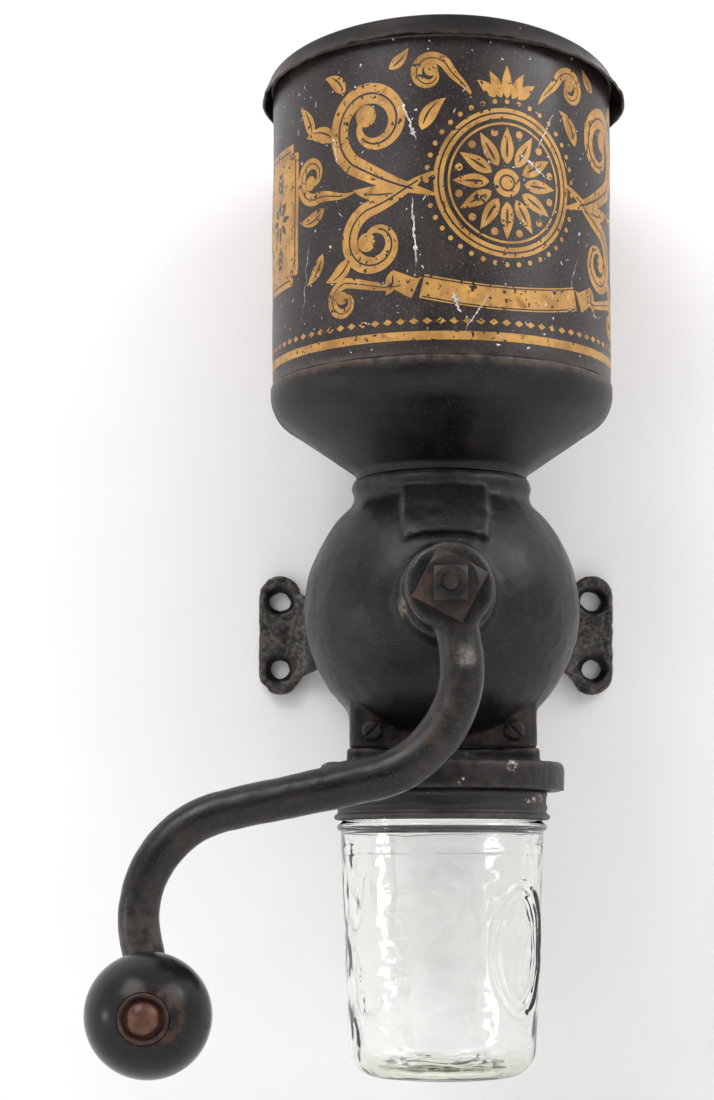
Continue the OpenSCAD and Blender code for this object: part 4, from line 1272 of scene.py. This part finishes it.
@dataclass
class Crank:
    """The S-shaped arm, its washer, nut and spindle, and the ball knob on its rivet."""

    knob_at: Pair = (-111.564, -160.925)
    knob_mid: float = -114.5
    knob_r: float = 23.5
    knob_flat: float = 1.3
    bore_r: float = 3.56
    recess_r: float = 8.9
    recess: float = 4.7
    hub_r: float = 17.2
    hub_face: float = -91.0
    arm_y: float = -83.0
    arm_r: float = 8.7
    heading: float = -79.4
    skin: Waves = ((0.3, 16.0), (0.12, 5.0))
    # Middle of the pale patch on the arm's first bend: wear, and a painted highlight as well.
    worn_highlight_at: Pair = (6.0, -27.0)
    lip: float = 0.9
    cup_r: float = 9.3
    cup_skin: Waves = ((0.12, 2.4),)
    head_r: float = 6.2
    head_h: float = 4.2
    head_skin: Waves = ((0.35, 4.0),)
    pin_r: float = 3.5
    pin_back: float = -75.0

    def soft(self, p: np.ndarray) -> np.ndarray:
        """Weights of the corner between the arm and its hub, the hub's edge and the knob's seat."""
        way = math.radians(self.heading)
        x, y, z = p.T
        along = x * math.cos(way) + z * math.sin(way)
        across = np.hypot(-x * math.sin(way) + z * math.cos(way), y - self.arm_y)
        beside = np.maximum(0.0, across - self.arm_r)
        hub = fade(np.hypot(along - self.hub_r, beside), 3.0, 10.0) * (along > 10.0)
        out = np.hypot(x - self.knob_at[0], z - self.knob_at[1])
        seat = fade(np.abs(out - 8.5), 1.0, 6.0) * (y < self.arm_y - 3.0) * (y > self.arm_y - 8.6)
        face = fade(np.hypot(np.hypot(x, z) - self.hub_r, y - self.hub_face), 1.0, 5.0)
        return np.maximum.reduce([hub, seat, face])

    def build(self) -> None:
        """Makes the arm, its fixings, the knob and its rivet."""
        bar = Bench.casting("crank_bar", ["crank_arm"], 0.8, 4, self.soft)
        Bench.push(bar, lambda p: waves(p, self.skin))
        x, y, z = Bench.points(bar).T
        # The pale patch on the front of the arm's first bend is wear and also a painted highlight, carried
        # into the finish by the wear and flake marks.
        wear_and_highlight = fade(np.hypot(x - self.worn_highlight_at[0], z - self.worn_highlight_at[1]), 1.0, 6.0) * (y < self.arm_y - 4.0)
        Bench.rub(bar, np.maximum(0.9 * wear_and_highlight, 0.5 * fade(z, -155.0, -110.0)))
        Bench.mark(bar, Mark.FLAKE, 0.2 * wear_and_highlight)
        Bench.mark(bar, Mark.RUST, 0.5 * fade(z, -150.0, -100.0))
        fit(bar, "rotor", CRANK_IRON, ["crank_arm"])
        for name, node, width in (
            ("hub_washer", "crank_washer", 0.7),
            ("hub_nut", "crank_nut", 0.6),
            ("spindle_rod", "spindle", 0.4),
        ):
            piece = Bench.eased(name, node, width)
            p = Bench.points(piece)
            Bench.mark(piece, Mark.RUST, 0.6 * fade(p[:, 0], -8.0, -2.0) * (name == "hub_washer"))
            fit(piece, "rotor", STEEL, [node])
        self.knob()

    def knob(self) -> None:
        """Turns the ball and adds its cup washer and rivet."""
        at = (self.knob_at[0], self.knob_mid, self.knob_at[1])
        r, back = self.knob_r, self.knob_r - self.knob_flat
        lip = math.degrees(math.acos((self.recess_r + self.lip) / r))
        lip_mid = (self.recess_r + self.lip, -r * math.sin(math.radians(lip)) + 0.95)
        floor = -(r - self.recess)
        ball = [
            (self.bore_r, back),
            (math.sqrt(r * r - back * back) - 0.6, back),
            *arc((0.0, 0.0), r, math.degrees(math.asin(back / r)) - 1.0, -lip, 56),
            *arc(lip_mid, self.lip, -100.0, -180.0, 6),
            (self.recess_r, floor),
            (self.bore_r, floor),
            (self.bore_r, back),
        ]
        piece = Bench.lathe("knob_ball", ball, Turn.SPINDLE, at, 128)
        p = Bench.points(piece)
        out = np.hypot(p[:, 0] - at[0] - 3.0, p[:, 2] - at[2] - 1.0)
        Bench.mark(piece, Mark.RUST, fade(out, 9.0, 13.0) * (p[:, 1] < self.knob_mid))
        fit(piece, "grip", KNOB_LACQUER, ["knob"])
        self.cup(at, floor)
        self.rivet(at, floor - 1.5)

    def cup(self, at: Place, floor: float) -> None:
        """Turns the cup washer.

        Args:
            at: The knob's middle.
            floor: Where the knob's recess ends, along the spindle from the middle.
        """
        edge = 0.7
        rim = self.cup_r - edge
        section = [
            (self.bore_r, floor),
            (self.cup_r - 0.5, floor),
            *arc((rim, floor - edge), edge, 90.0, 0.0, 5),
            *arc((rim, floor - 2.7), edge, 0.0, -180.0, 8),
            *arc((self.cup_r - 3.0, floor - 2.6), 1.4, 0.0, 90.0, 5),
            (self.bore_r, floor - 1.2),
            (self.bore_r, floor),
        ]
        piece = Bench.lathe("knob_cup", section, Turn.SPINDLE, at, 72)
        Bench.push(piece, lambda q: waves(q, self.cup_skin))
        fit(piece, "grip", CUP_STEEL, ["knob_cup_washer"])

    def rivet(self, at: Place, seat: float) -> None:
        """Turns the domed rivet.

        Args:
            at: The knob's middle.
            seat: The underside of its head, along the spindle from the middle.
        """
        edge, rim = 0.5, 0.3
        rise = self.head_h - edge
        turns = np.linspace(0.0, math.pi / 2, 14)[:-1]
        tail = self.pin_back - self.knob_mid
        section = [
            (0.0, tail),
            (self.pin_r - edge, tail),
            (self.pin_r, tail - edge),
            (self.pin_r, seat),
            (self.head_r - rim, seat),
            (self.head_r, seat - rim),
            *[(self.head_r * math.cos(t), seat - edge - rise * math.sin(t)) for t in turns],
            (0.0, seat - self.head_h),
        ]
        piece = Bench.lathe("knob_pin", section, Turn.SPINDLE, at, 64)
        Bench.push(piece, lambda q: (q[:, 1] < self.knob_mid + seat) * waves(q, self.head_skin))
        fit(piece, "rotor", RIVET_STEEL, ["knob_rivet"])


@dataclass
class Outlet:
    """The flange under the spout, its screws and the fixed cap that the jar screws into."""

    cap_top: float = -70.0
    cap_low: float = -87.0
    cap_r: float = 43.5
    sheet: float = 0.8
    lip: float = 1.2
    hole_r: float = 31.0
    spout_front: float = -20.0
    thicken: float = 2.2
    skin: Waves = ((0.35, 9.0), (0.15, 3.0))
    bead: float = 0.45
    bead_in: float = 0.35
    bead_from: float = 2.4
    bead_run: float = 11.0
    bead_pitch: float = 5.5
    flange_chips: tuple[Spot, ...] = ((26.3, -66.2, 2.8), (6.2, -72.6, 1.7))
    cap_chips: tuple[Spot, ...] = ((36.0, -79.4, 1.7), (39.0, -78.6, 1.9), (33.2, -80.0, 1.2))

    @staticmethod
    def flaked(p: np.ndarray, spots: Sequence[Spot]) -> np.ndarray:
        """Weights of bare spots on the front, each at a place across and up with its radius."""
        near = [fade(np.hypot(p[:, 0] - x, p[:, 2] - z), 0.5 * r, r) for x, z, r in spots]
        return np.maximum.reduce(near) * (p[:, 1] < 0.0)

    def sill(self, p: np.ndarray) -> np.ndarray:
        """Weights of the thin lip between the outlet and the front of the spout."""
        lip = self.spout_front
        across = fade(np.abs(p[:, 0]), 24.5, 29.0)
        return across * fade(p[:, 1], lip - 0.2, lip - 0.9) * fade(p[:, 1], lip, lip + 5.5)

    def build(self) -> None:
        """Makes the flange, the screws and the cap."""
        flange = Bench.casting("outlet_flange", ["outlet_plate"], 0.9, 3)
        Bench.push(flange, lambda p: waves(p, self.skin))
        p = Bench.points(flange)
        p[:, 1] += self.thicken * self.sill(p)
        Bench.put(flange, p)
        front = fade(p[:, 1], -30.0, -5.0)
        Bench.mark(flange, Mark.RUST, 0.2 * front)
        Bench.mark(flange, Mark.FLAKE, self.flaked(p, self.flange_chips))
        fit(flange, "mill_body", IRON, ["outlet_plate"])
        screws = Bench.eased("outlet_screw_heads", "outlet_screws", 0.35)
        fit(screws, "mill_body", STEEL, ["outlet_screws"])
        self.cap()

    def skirt(self) -> list[Pair]:
        """Points down the cap's skirt, with two shallow beads."""
        top = self.cap_top - self.bead_from
        rows = [top - self.bead_run * i / 40.0 for i in range(41)]
        beads = [max(0.0, math.sin(math.tau * (z - top) / self.bead_pitch)) for z in rows]
        return [(self.cap_r - self.bead_in + self.bead * b, z) for z, b in zip(rows, beads)]

    def cap(self) -> None:
        """Makes the cap, with rolled thread beads round its skirt."""
        edge, inner = 2.0 * self.sheet, self.cap_r - self.sheet
        profile = [
            (self.hole_r, self.cap_top),
            *arc((self.cap_r - self.bead_in - edge, self.cap_top - edge), edge, 90.0, 0.0, 6),
            *self.skirt(),
            (self.cap_r, self.cap_low + 2.0 * self.lip),
            *arc((self.cap_r, self.cap_low + self.lip), self.lip, 90.0, -90.0, 10),
            (inner, self.cap_low),
            (inner, self.cap_top - edge),
            (inner - edge / 2.0, self.cap_top - self.sheet),
            (self.hole_r, self.cap_top - self.sheet),
            (self.hole_r, self.cap_top),
        ]
        cap = Bench.lathe("jar_cap", profile, steps=160)
        p = Bench.points(cap)
        low = fade(p[:, 2], self.cap_low + 1.0, self.cap_low + 3.0)
        Bench.mark(cap, Mark.WEAR, 0.4 * low)
        Bench.mark(cap, Mark.FLAKE, self.flaked(p, self.cap_chips))
        fit(cap, "mill_body", CAP_TIN, ["jar_lid"])


@dataclass
class Jar:
    """The clear glass jar that catches the grounds."""

    mouth_top: float = -71.1
    mouth_r: float = 41.0
    wall: float = 3.2
    ring_z: float = -90.0
    ring_r: float = 43.6
    ring_t: float = 3.4
    top_r: float = 41.9
    low_r: float = 38.7
    low: float = -192.7
    corner: float = 12.0
    base: float = 6.0
    hollow: float = 2.5
    lip: float = 1.2
    pitch: float = 5.2
    thread_from: float = 3.6
    thread_h: float = 1.1
    ovals: tuple[Pair, ...] = ((35.0, 0.9), (-86.0, 0.5))
    oval_half: Pair = (17.0, 27.0)
    oval_z: float = -140.0
    bars: int = 7
    bar_at: float = -24.0
    bar_top: float = -116.0
    bar_step: float = 9.0
    bar_lengths: Pair = (10.0, 6.0)
    bar_h: float = 0.4
    rings: Pair = (-98.6, -100.5)
    rings_h: float = 0.45
    inner_skin: Waves = ((0.6, 15.0), (0.08, 5.0))
    inner_in: float = 0.3
    outer_skin: Waves = ((0.3, 7.0),)
    floor_skin: Waves = ((1.2, 10.0),)
    floor_ring: float = 0.6

    @property
    def drop(self) -> float:
        """Height of the wall's top, under the bead."""
        return self.ring_z - self.ring_t / 2.0

    @property
    def foot(self) -> float:
        """Height where the wall turns into the base."""
        return self.low + self.corner

    @property
    def base_r(self) -> float:
        """Radius of the flat of the base."""
        return self.low_r - self.corner

    def relief(self, across: np.ndarray, z: np.ndarray) -> np.ndarray:
        """Height of the pressed ornament: blank ovals, plain measuring bars and two fine rings.

        Args:
            across: Distance round from the front.
            z: Height.

        Returns:
            The height of each point over the plain wall.
        """
        high = np.zeros(len(z))
        wide, tall = self.oval_half
        for middle, depth in self.ovals:
            ring = np.hypot((across - middle) / wide, (z - self.oval_z) / tall)
            high = np.maximum(high, depth * fade(np.abs(ring - 1.0), 0.01, 0.07))
            high = np.maximum(high, 0.55 * depth * fade(np.abs(ring - 0.82), 0.01, 0.05))
        start = across - self.bar_at
        for k in range(self.bars):
            level = self.bar_top - self.bar_step * k
            bar = fade(np.abs(z - level), 0.3, 1.0) * fade(start, 0.0, -1.0)
            high = np.maximum(high, self.bar_h * bar * fade(start - self.bar_lengths[k % 2], 0.0, 1.0))
        for ring_z in self.rings:
            high = np.maximum(high, self.rings_h * fade(np.abs(z - ring_z), 0.1, 0.8))
        return high

    def profile(self) -> list[Pair]:
        """Section of the glass: from the lip down the outside, round the base and up the inside."""
        drop, foot, base_r, lip = self.drop, self.foot, self.base_r, self.lip
        lean = math.atan2(self.top_r - self.low_r, drop - foot)
        tilt = math.degrees(lean)
        bead = (self.ring_r - self.ring_t / 2.0, self.ring_z)
        mouth = [
            *arc((self.mouth_r - lip, self.mouth_top - lip), lip, 90.0, 0.0, 6),
            *[(self.mouth_r, self.mouth_top - lip - 0.6 * i) for i in range(1, 26)],
            *arc(bead, self.ring_t / 2.0, 80.0, -80.0, 12),
        ]
        heel = (base_r + self.corner * math.cos(lean), foot - self.corner * math.sin(lean))
        side = np.linspace((self.top_r, drop - 0.4), heel, 110)
        inner_low = self.corner - self.wall
        inside = np.linspace((self.top_r - self.wall, drop), (base_r + inner_low, foot), 30)
        rise = np.linspace(0.0, 1.0, 8)
        under = [(base_r * 0.8 * (1.0 - t), self.low + self.hollow * (0.75 + 0.25 * t)) for t in rise]
        return [
            *mouth,
            *[tuple(q) for q in side],
            *arc((base_r, foot), self.corner, -tilt - 3.0, -84.0, 14),
            (base_r - 1.0, self.low),
            *arc((base_r - 3.0, self.low + 0.6), 1.0, -40.0, -120.0, 4),
            *under,
            *[(base_r * t, self.low + self.base + 0.8 * (1.0 - t)) for t in np.linspace(0.0, 0.98, 28)],
            *arc((base_r, foot), inner_low, -88.0, -tilt, 12),
            *[tuple(q) for q in reversed(inside)],
            *[(self.mouth_r - self.wall, z) for z in np.linspace(drop + 4.0, self.mouth_top - 1.4, 8)],
            (self.mouth_r - self.wall + lip, self.mouth_top),
            mouth[0],
        ]

    def thread(self, angle: np.ndarray, radius: np.ndarray, z: np.ndarray) -> np.ndarray:
        """Height of the screw thread, on the outside of the mouth only.

        Args:
            angle: Angle from the front.
            radius: Distance from the axis.
            z: Height.

        Returns:
            The height of each point over the plain mouth.
        """
        slope = self.mouth_top - self.thread_from - self.pitch * ((angle / math.tau) % 1.0)
        ridge = np.zeros(len(z))
        for k in range(2):
            ridge = np.maximum(ridge, fade(np.abs(z - slope + self.pitch * k), 0.3, 1.5))
        mouth = (z < self.mouth_top - 1.5) * (z > self.ring_z + 2.5)
        return self.thread_h * ridge * (np.abs(radius - self.mouth_r) < 0.2) * mouth

    def build(self) -> None:
        """Makes the jar with its thread, its ornament and the uneven skin and floor of pressed glass."""
        jar = Bench.lathe("jar_glass", self.profile(), steps=300)
        p = Bench.points(jar)
        angle, radius, z = np.arctan2(p[:, 0], -p[:, 1]), np.hypot(p[:, 0], p[:, 1]), p[:, 2]
        below = fade(z, self.drop - 6.0, self.drop - 1.0)
        inner = radius < np.interp(z, (self.foot, self.drop), (self.low_r, self.top_r)) - 1.2
        wave = below * inner * (waves(p, self.inner_skin) - self.inner_in)
        outer = below * ~inner * (z > self.foot)
        raised = outer * (self.relief(angle * self.low_r, z) + waves(p, self.outer_skin))
        floor = fade(radius, self.base_r - 2.0, self.base_r + 4.0)
        floor = floor * (np.abs(z - self.low - self.base) < 1.5)
        ring = fade(np.abs(radius - 0.62 * self.base_r), 0.4, 1.8)
        moved = p + outward(angle) * (self.thread(angle, radius, z) + wave + raised)[:, None]
        moved[:, 2] += floor * (waves(p, self.floor_skin) + self.floor_ring * ring)
        Bench.put(jar, moved)
        fit(jar, "jar", CLEAR, ["glass_jar"])


@dataclass
class Back:
    """The rear cover, its screws, the regulating screw and the works inside."""

    skin: Waves = ((0.25, 10.0),)

    def build(self) -> None:
        """Makes the cover, eases the edges of its fixings and paints the works, which keep their solids."""
        cover = Bench.casting("rear_cap", ["rear_cover"], 0.8, 3)
        Bench.push(cover, lambda p: waves(p, self.skin))
        fit(cover, "mill_body", IRON, ["rear_cover"])
        for name, node, body, width in (
            ("rear_cap_screws", "rear_cover_screws", "mill_body", 0.3),
            ("lock_nut", "regulating_lock_nut", "mill_body", 0.5),
            ("wing_screw", "regulating_screw", "regulator", 0.6),
        ):
            piece = Bench.eased(name, node, width)
            fit(piece, body, STEEL, [node])
        for node, finish in (
            ("inner_burr", BARE),
            ("ring_burr", BARE),
            ("burr_pin", STEEL),
            ("ring_burr_screws", STEEL),
            ("thrust_button", STEEL),
            ("jar_lid_rivets", STEEL),
        ):
            materials = Bench.nodes[node].data.materials
            materials.clear()
            materials.append(finish.material())
            LOG.info("%s keeps its solid", node)


# Light and camera


@dataclass(frozen=True)
class Lamp:
    """One soft square light."""

    name: str
    place: Place
    size: float
    power: float

    def hang(self, aim: Place) -> None:
        """Adds the light to the scene, turned to a point."""
        data = bpy.data.lights.new(self.name, "AREA")
        data.shape, data.size, data.energy = "SQUARE", self.size, self.power
        obj = bpy.data.objects.new(self.name, data)
        obj.location = self.place
        obj.rotation_euler = (Vector(aim) - Vector(self.place)).to_track_quat("-Z", "Y").to_euler()
        bpy.context.scene.collection.objects.link(obj)


LAMPS = (
    Lamp("key_light", (-0.7, -0.95, 1.05), 0.8, 11.0),
    Lamp("side_light", (1.05, -0.75, 0.85), 0.9, 9.6),
    Lamp("low_light", (-0.9, -0.9, -0.5), 0.8, 0.6),
    Lamp("left_window", (-1.25, -0.45, -0.14), 0.2, 1.3),
    Lamp("right_window", (1.1, -0.42, 0.72), 0.2, 1.1),
    Lamp("back_light", (0.3, 1.2, 0.9), 0.9, 16.0),
)


@dataclass
class Studio:
    """A pale wall and floor, soft lights and the camera."""

    wall_y: float = 0.0006
    wall_z: float = 1.18
    wall_size: float = 3.0
    floor_z: float = -0.31
    floor_size: float = 6.0
    aim: Place = (0.0, -0.08, 0.0)
    eye: Place = (-0.0352, -1.0721, -0.1052)
    tilt: float = 2.416
    lens: float = 78.58
    shift_y: float = 0.20
    dim_way: Place = (0.0, -0.88, -0.47)
    dim_spread: Pair = (0.45, 0.9)
    pale_to_dim: Pair = (1.07, 0.11)
    cloud: float = 120.0
    tones: tuple[Colour, Colour] = ((0.8, 0.797, 0.8), (0.84, 0.836, 0.838))
    # Painted shade on the one-sided wall: its direction, spread and colour.
    shade_way: Place = (0.6, -0.8, 0.0)
    shade_spread: Pair = (0.994, 1.164)
    shaded: Colour = (0.68, 0.676, 0.678)

    def paper(self, name: str, one_sided: bool) -> bpy.types.Material:
        """Matt pale paper; a one-sided sheet also gets painted shade, darker towards its bottom right.

        Args:
            name: The material's name.
            one_sided: Whether its back lets light and sight through.

        Returns:
            The new material.
        """
        brush = Brush(name)
        clouds = brush.speckle(self.cloud, 2.0)
        tone = brush.blend(brush.between(clouds, 0.3, 0.7), *self.tones)
        if one_sided:
            # Painted shade: the sheet turns darker towards its bottom right, blended to the shaded colour.
            corner = brush.add("ShaderNodeVectorMath", operation="DOT_PRODUCT")
            corner.inputs[1].default_value = self.shade_way
            brush.join(brush.place, corner.inputs[0])
            shade = brush.between(corner.outputs["Value"], *self.shade_spread)
            tone = brush.blend(shade, tone, self.shaded)
        brush.set(brush.shader.inputs["Base Color"], tone)
        brush.shader.inputs["Roughness"].default_value = 0.85
        brush.shader.inputs["Specular IOR Level"].default_value = 0.2
        if one_sided:
            clear = brush.add("ShaderNodeBsdfTransparent")
            mix = brush.add("ShaderNodeMixShader")
            brush.join(brush.add("ShaderNodeNewGeometry").outputs["Backfacing"], mix.inputs[0])
            brush.join(brush.shader.outputs[0], mix.inputs[1])
            brush.join(clear.outputs[0], mix.inputs[2])
            brush.join(mix.outputs[0], brush.out.inputs["Surface"])
        return brush.made

    def sheet(self, name: str, size: float, place: Sequence[float], turn: float, one_sided: bool) -> None:
        """Adds one flat sheet of the set.

        Args:
            name: Its name.
            size: Its width.
            place: Its middle.
            turn: Its turn about X, in degrees.
            one_sided: Whether it is seen through from behind.
        """
        bpy.ops.object.select_all(action="DESELECT")
        bpy.ops.mesh.primitive_plane_add(size=size, location=place, rotation=(math.radians(turn), 0.0, 0.0))
        obj = bpy.context.object
        obj.name = name
        obj.data.materials.append(self.paper(name + "_paper", one_sided))

    def room(self) -> None:
        """Sets the surroundings: a pale room that is dim towards the front and below."""
        world = bpy.data.worlds.new("pale_room")
        world.use_nodes = True
        tree = world.node_tree
        ground = tree.nodes["Background"]
        ground.inputs["Color"].default_value = (1.0, 0.985, 0.985, 1.0)
        way = tree.nodes.new("ShaderNodeTexCoord").outputs["Generated"]
        near = tree.nodes.new("ShaderNodeVectorMath")
        near.operation = "DOT_PRODUCT"
        near.inputs[1].default_value = Vector(self.dim_way).normalized()
        share = tree.nodes.new("ShaderNodeMapRange")
        for key, number in zip((1, 2, 3, 4), (*self.dim_spread, *self.pale_to_dim)):
            share.inputs[key].default_value = number
        tree.links.new(way, near.inputs[0])
        tree.links.new(near.outputs["Value"], share.inputs[0])
        tree.links.new(share.outputs[0], ground.inputs["Strength"])
        bpy.context.scene.world = world

    def camera(self) -> None:
        """Sets the camera at the photographer's eye, tilted up a little and shifted."""
        data = bpy.data.cameras.new("photo_camera")
        data.sensor_fit, data.sensor_width, data.sensor_height = "AUTO", 36.0, 36.0
        data.lens, data.shift_y = self.lens, self.shift_y
        camera = bpy.data.objects.new("photo_camera", data)
        camera.location = self.eye
        camera.rotation_euler = (math.radians(90.0 + self.tilt), 0.0, 0.0)
        bpy.context.scene.collection.objects.link(camera)
        bpy.context.scene.camera = camera

    def build(self) -> None:
        """Sets out the wall, floor, lights, surroundings and camera."""
        self.sheet("wall_sheet", self.wall_size, (0.0, self.wall_y, self.wall_z), 90.0, True)
        self.sheet("floor_sheet", self.floor_size, (0.0, 0.0, self.floor_z), 0.0, False)
        for lamp in LAMPS:
            lamp.hang(self.aim)
        self.room()
        bpy.context.scene.view_settings.view_transform = "Standard"
        self.camera()


def main() -> None:
    """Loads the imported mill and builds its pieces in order."""
    logging.basicConfig(level=logging.INFO, format="%(name)s: %(message)s")
    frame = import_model()
    Bench.nodes = frame["nodes"]
    Studio().build()
    for part in (Body(), Hopper(), Canister(), Lid(), Crank(), Outlet(), Jar(), Back()):
        part.build()


if __name__ == "__main__":
    main()
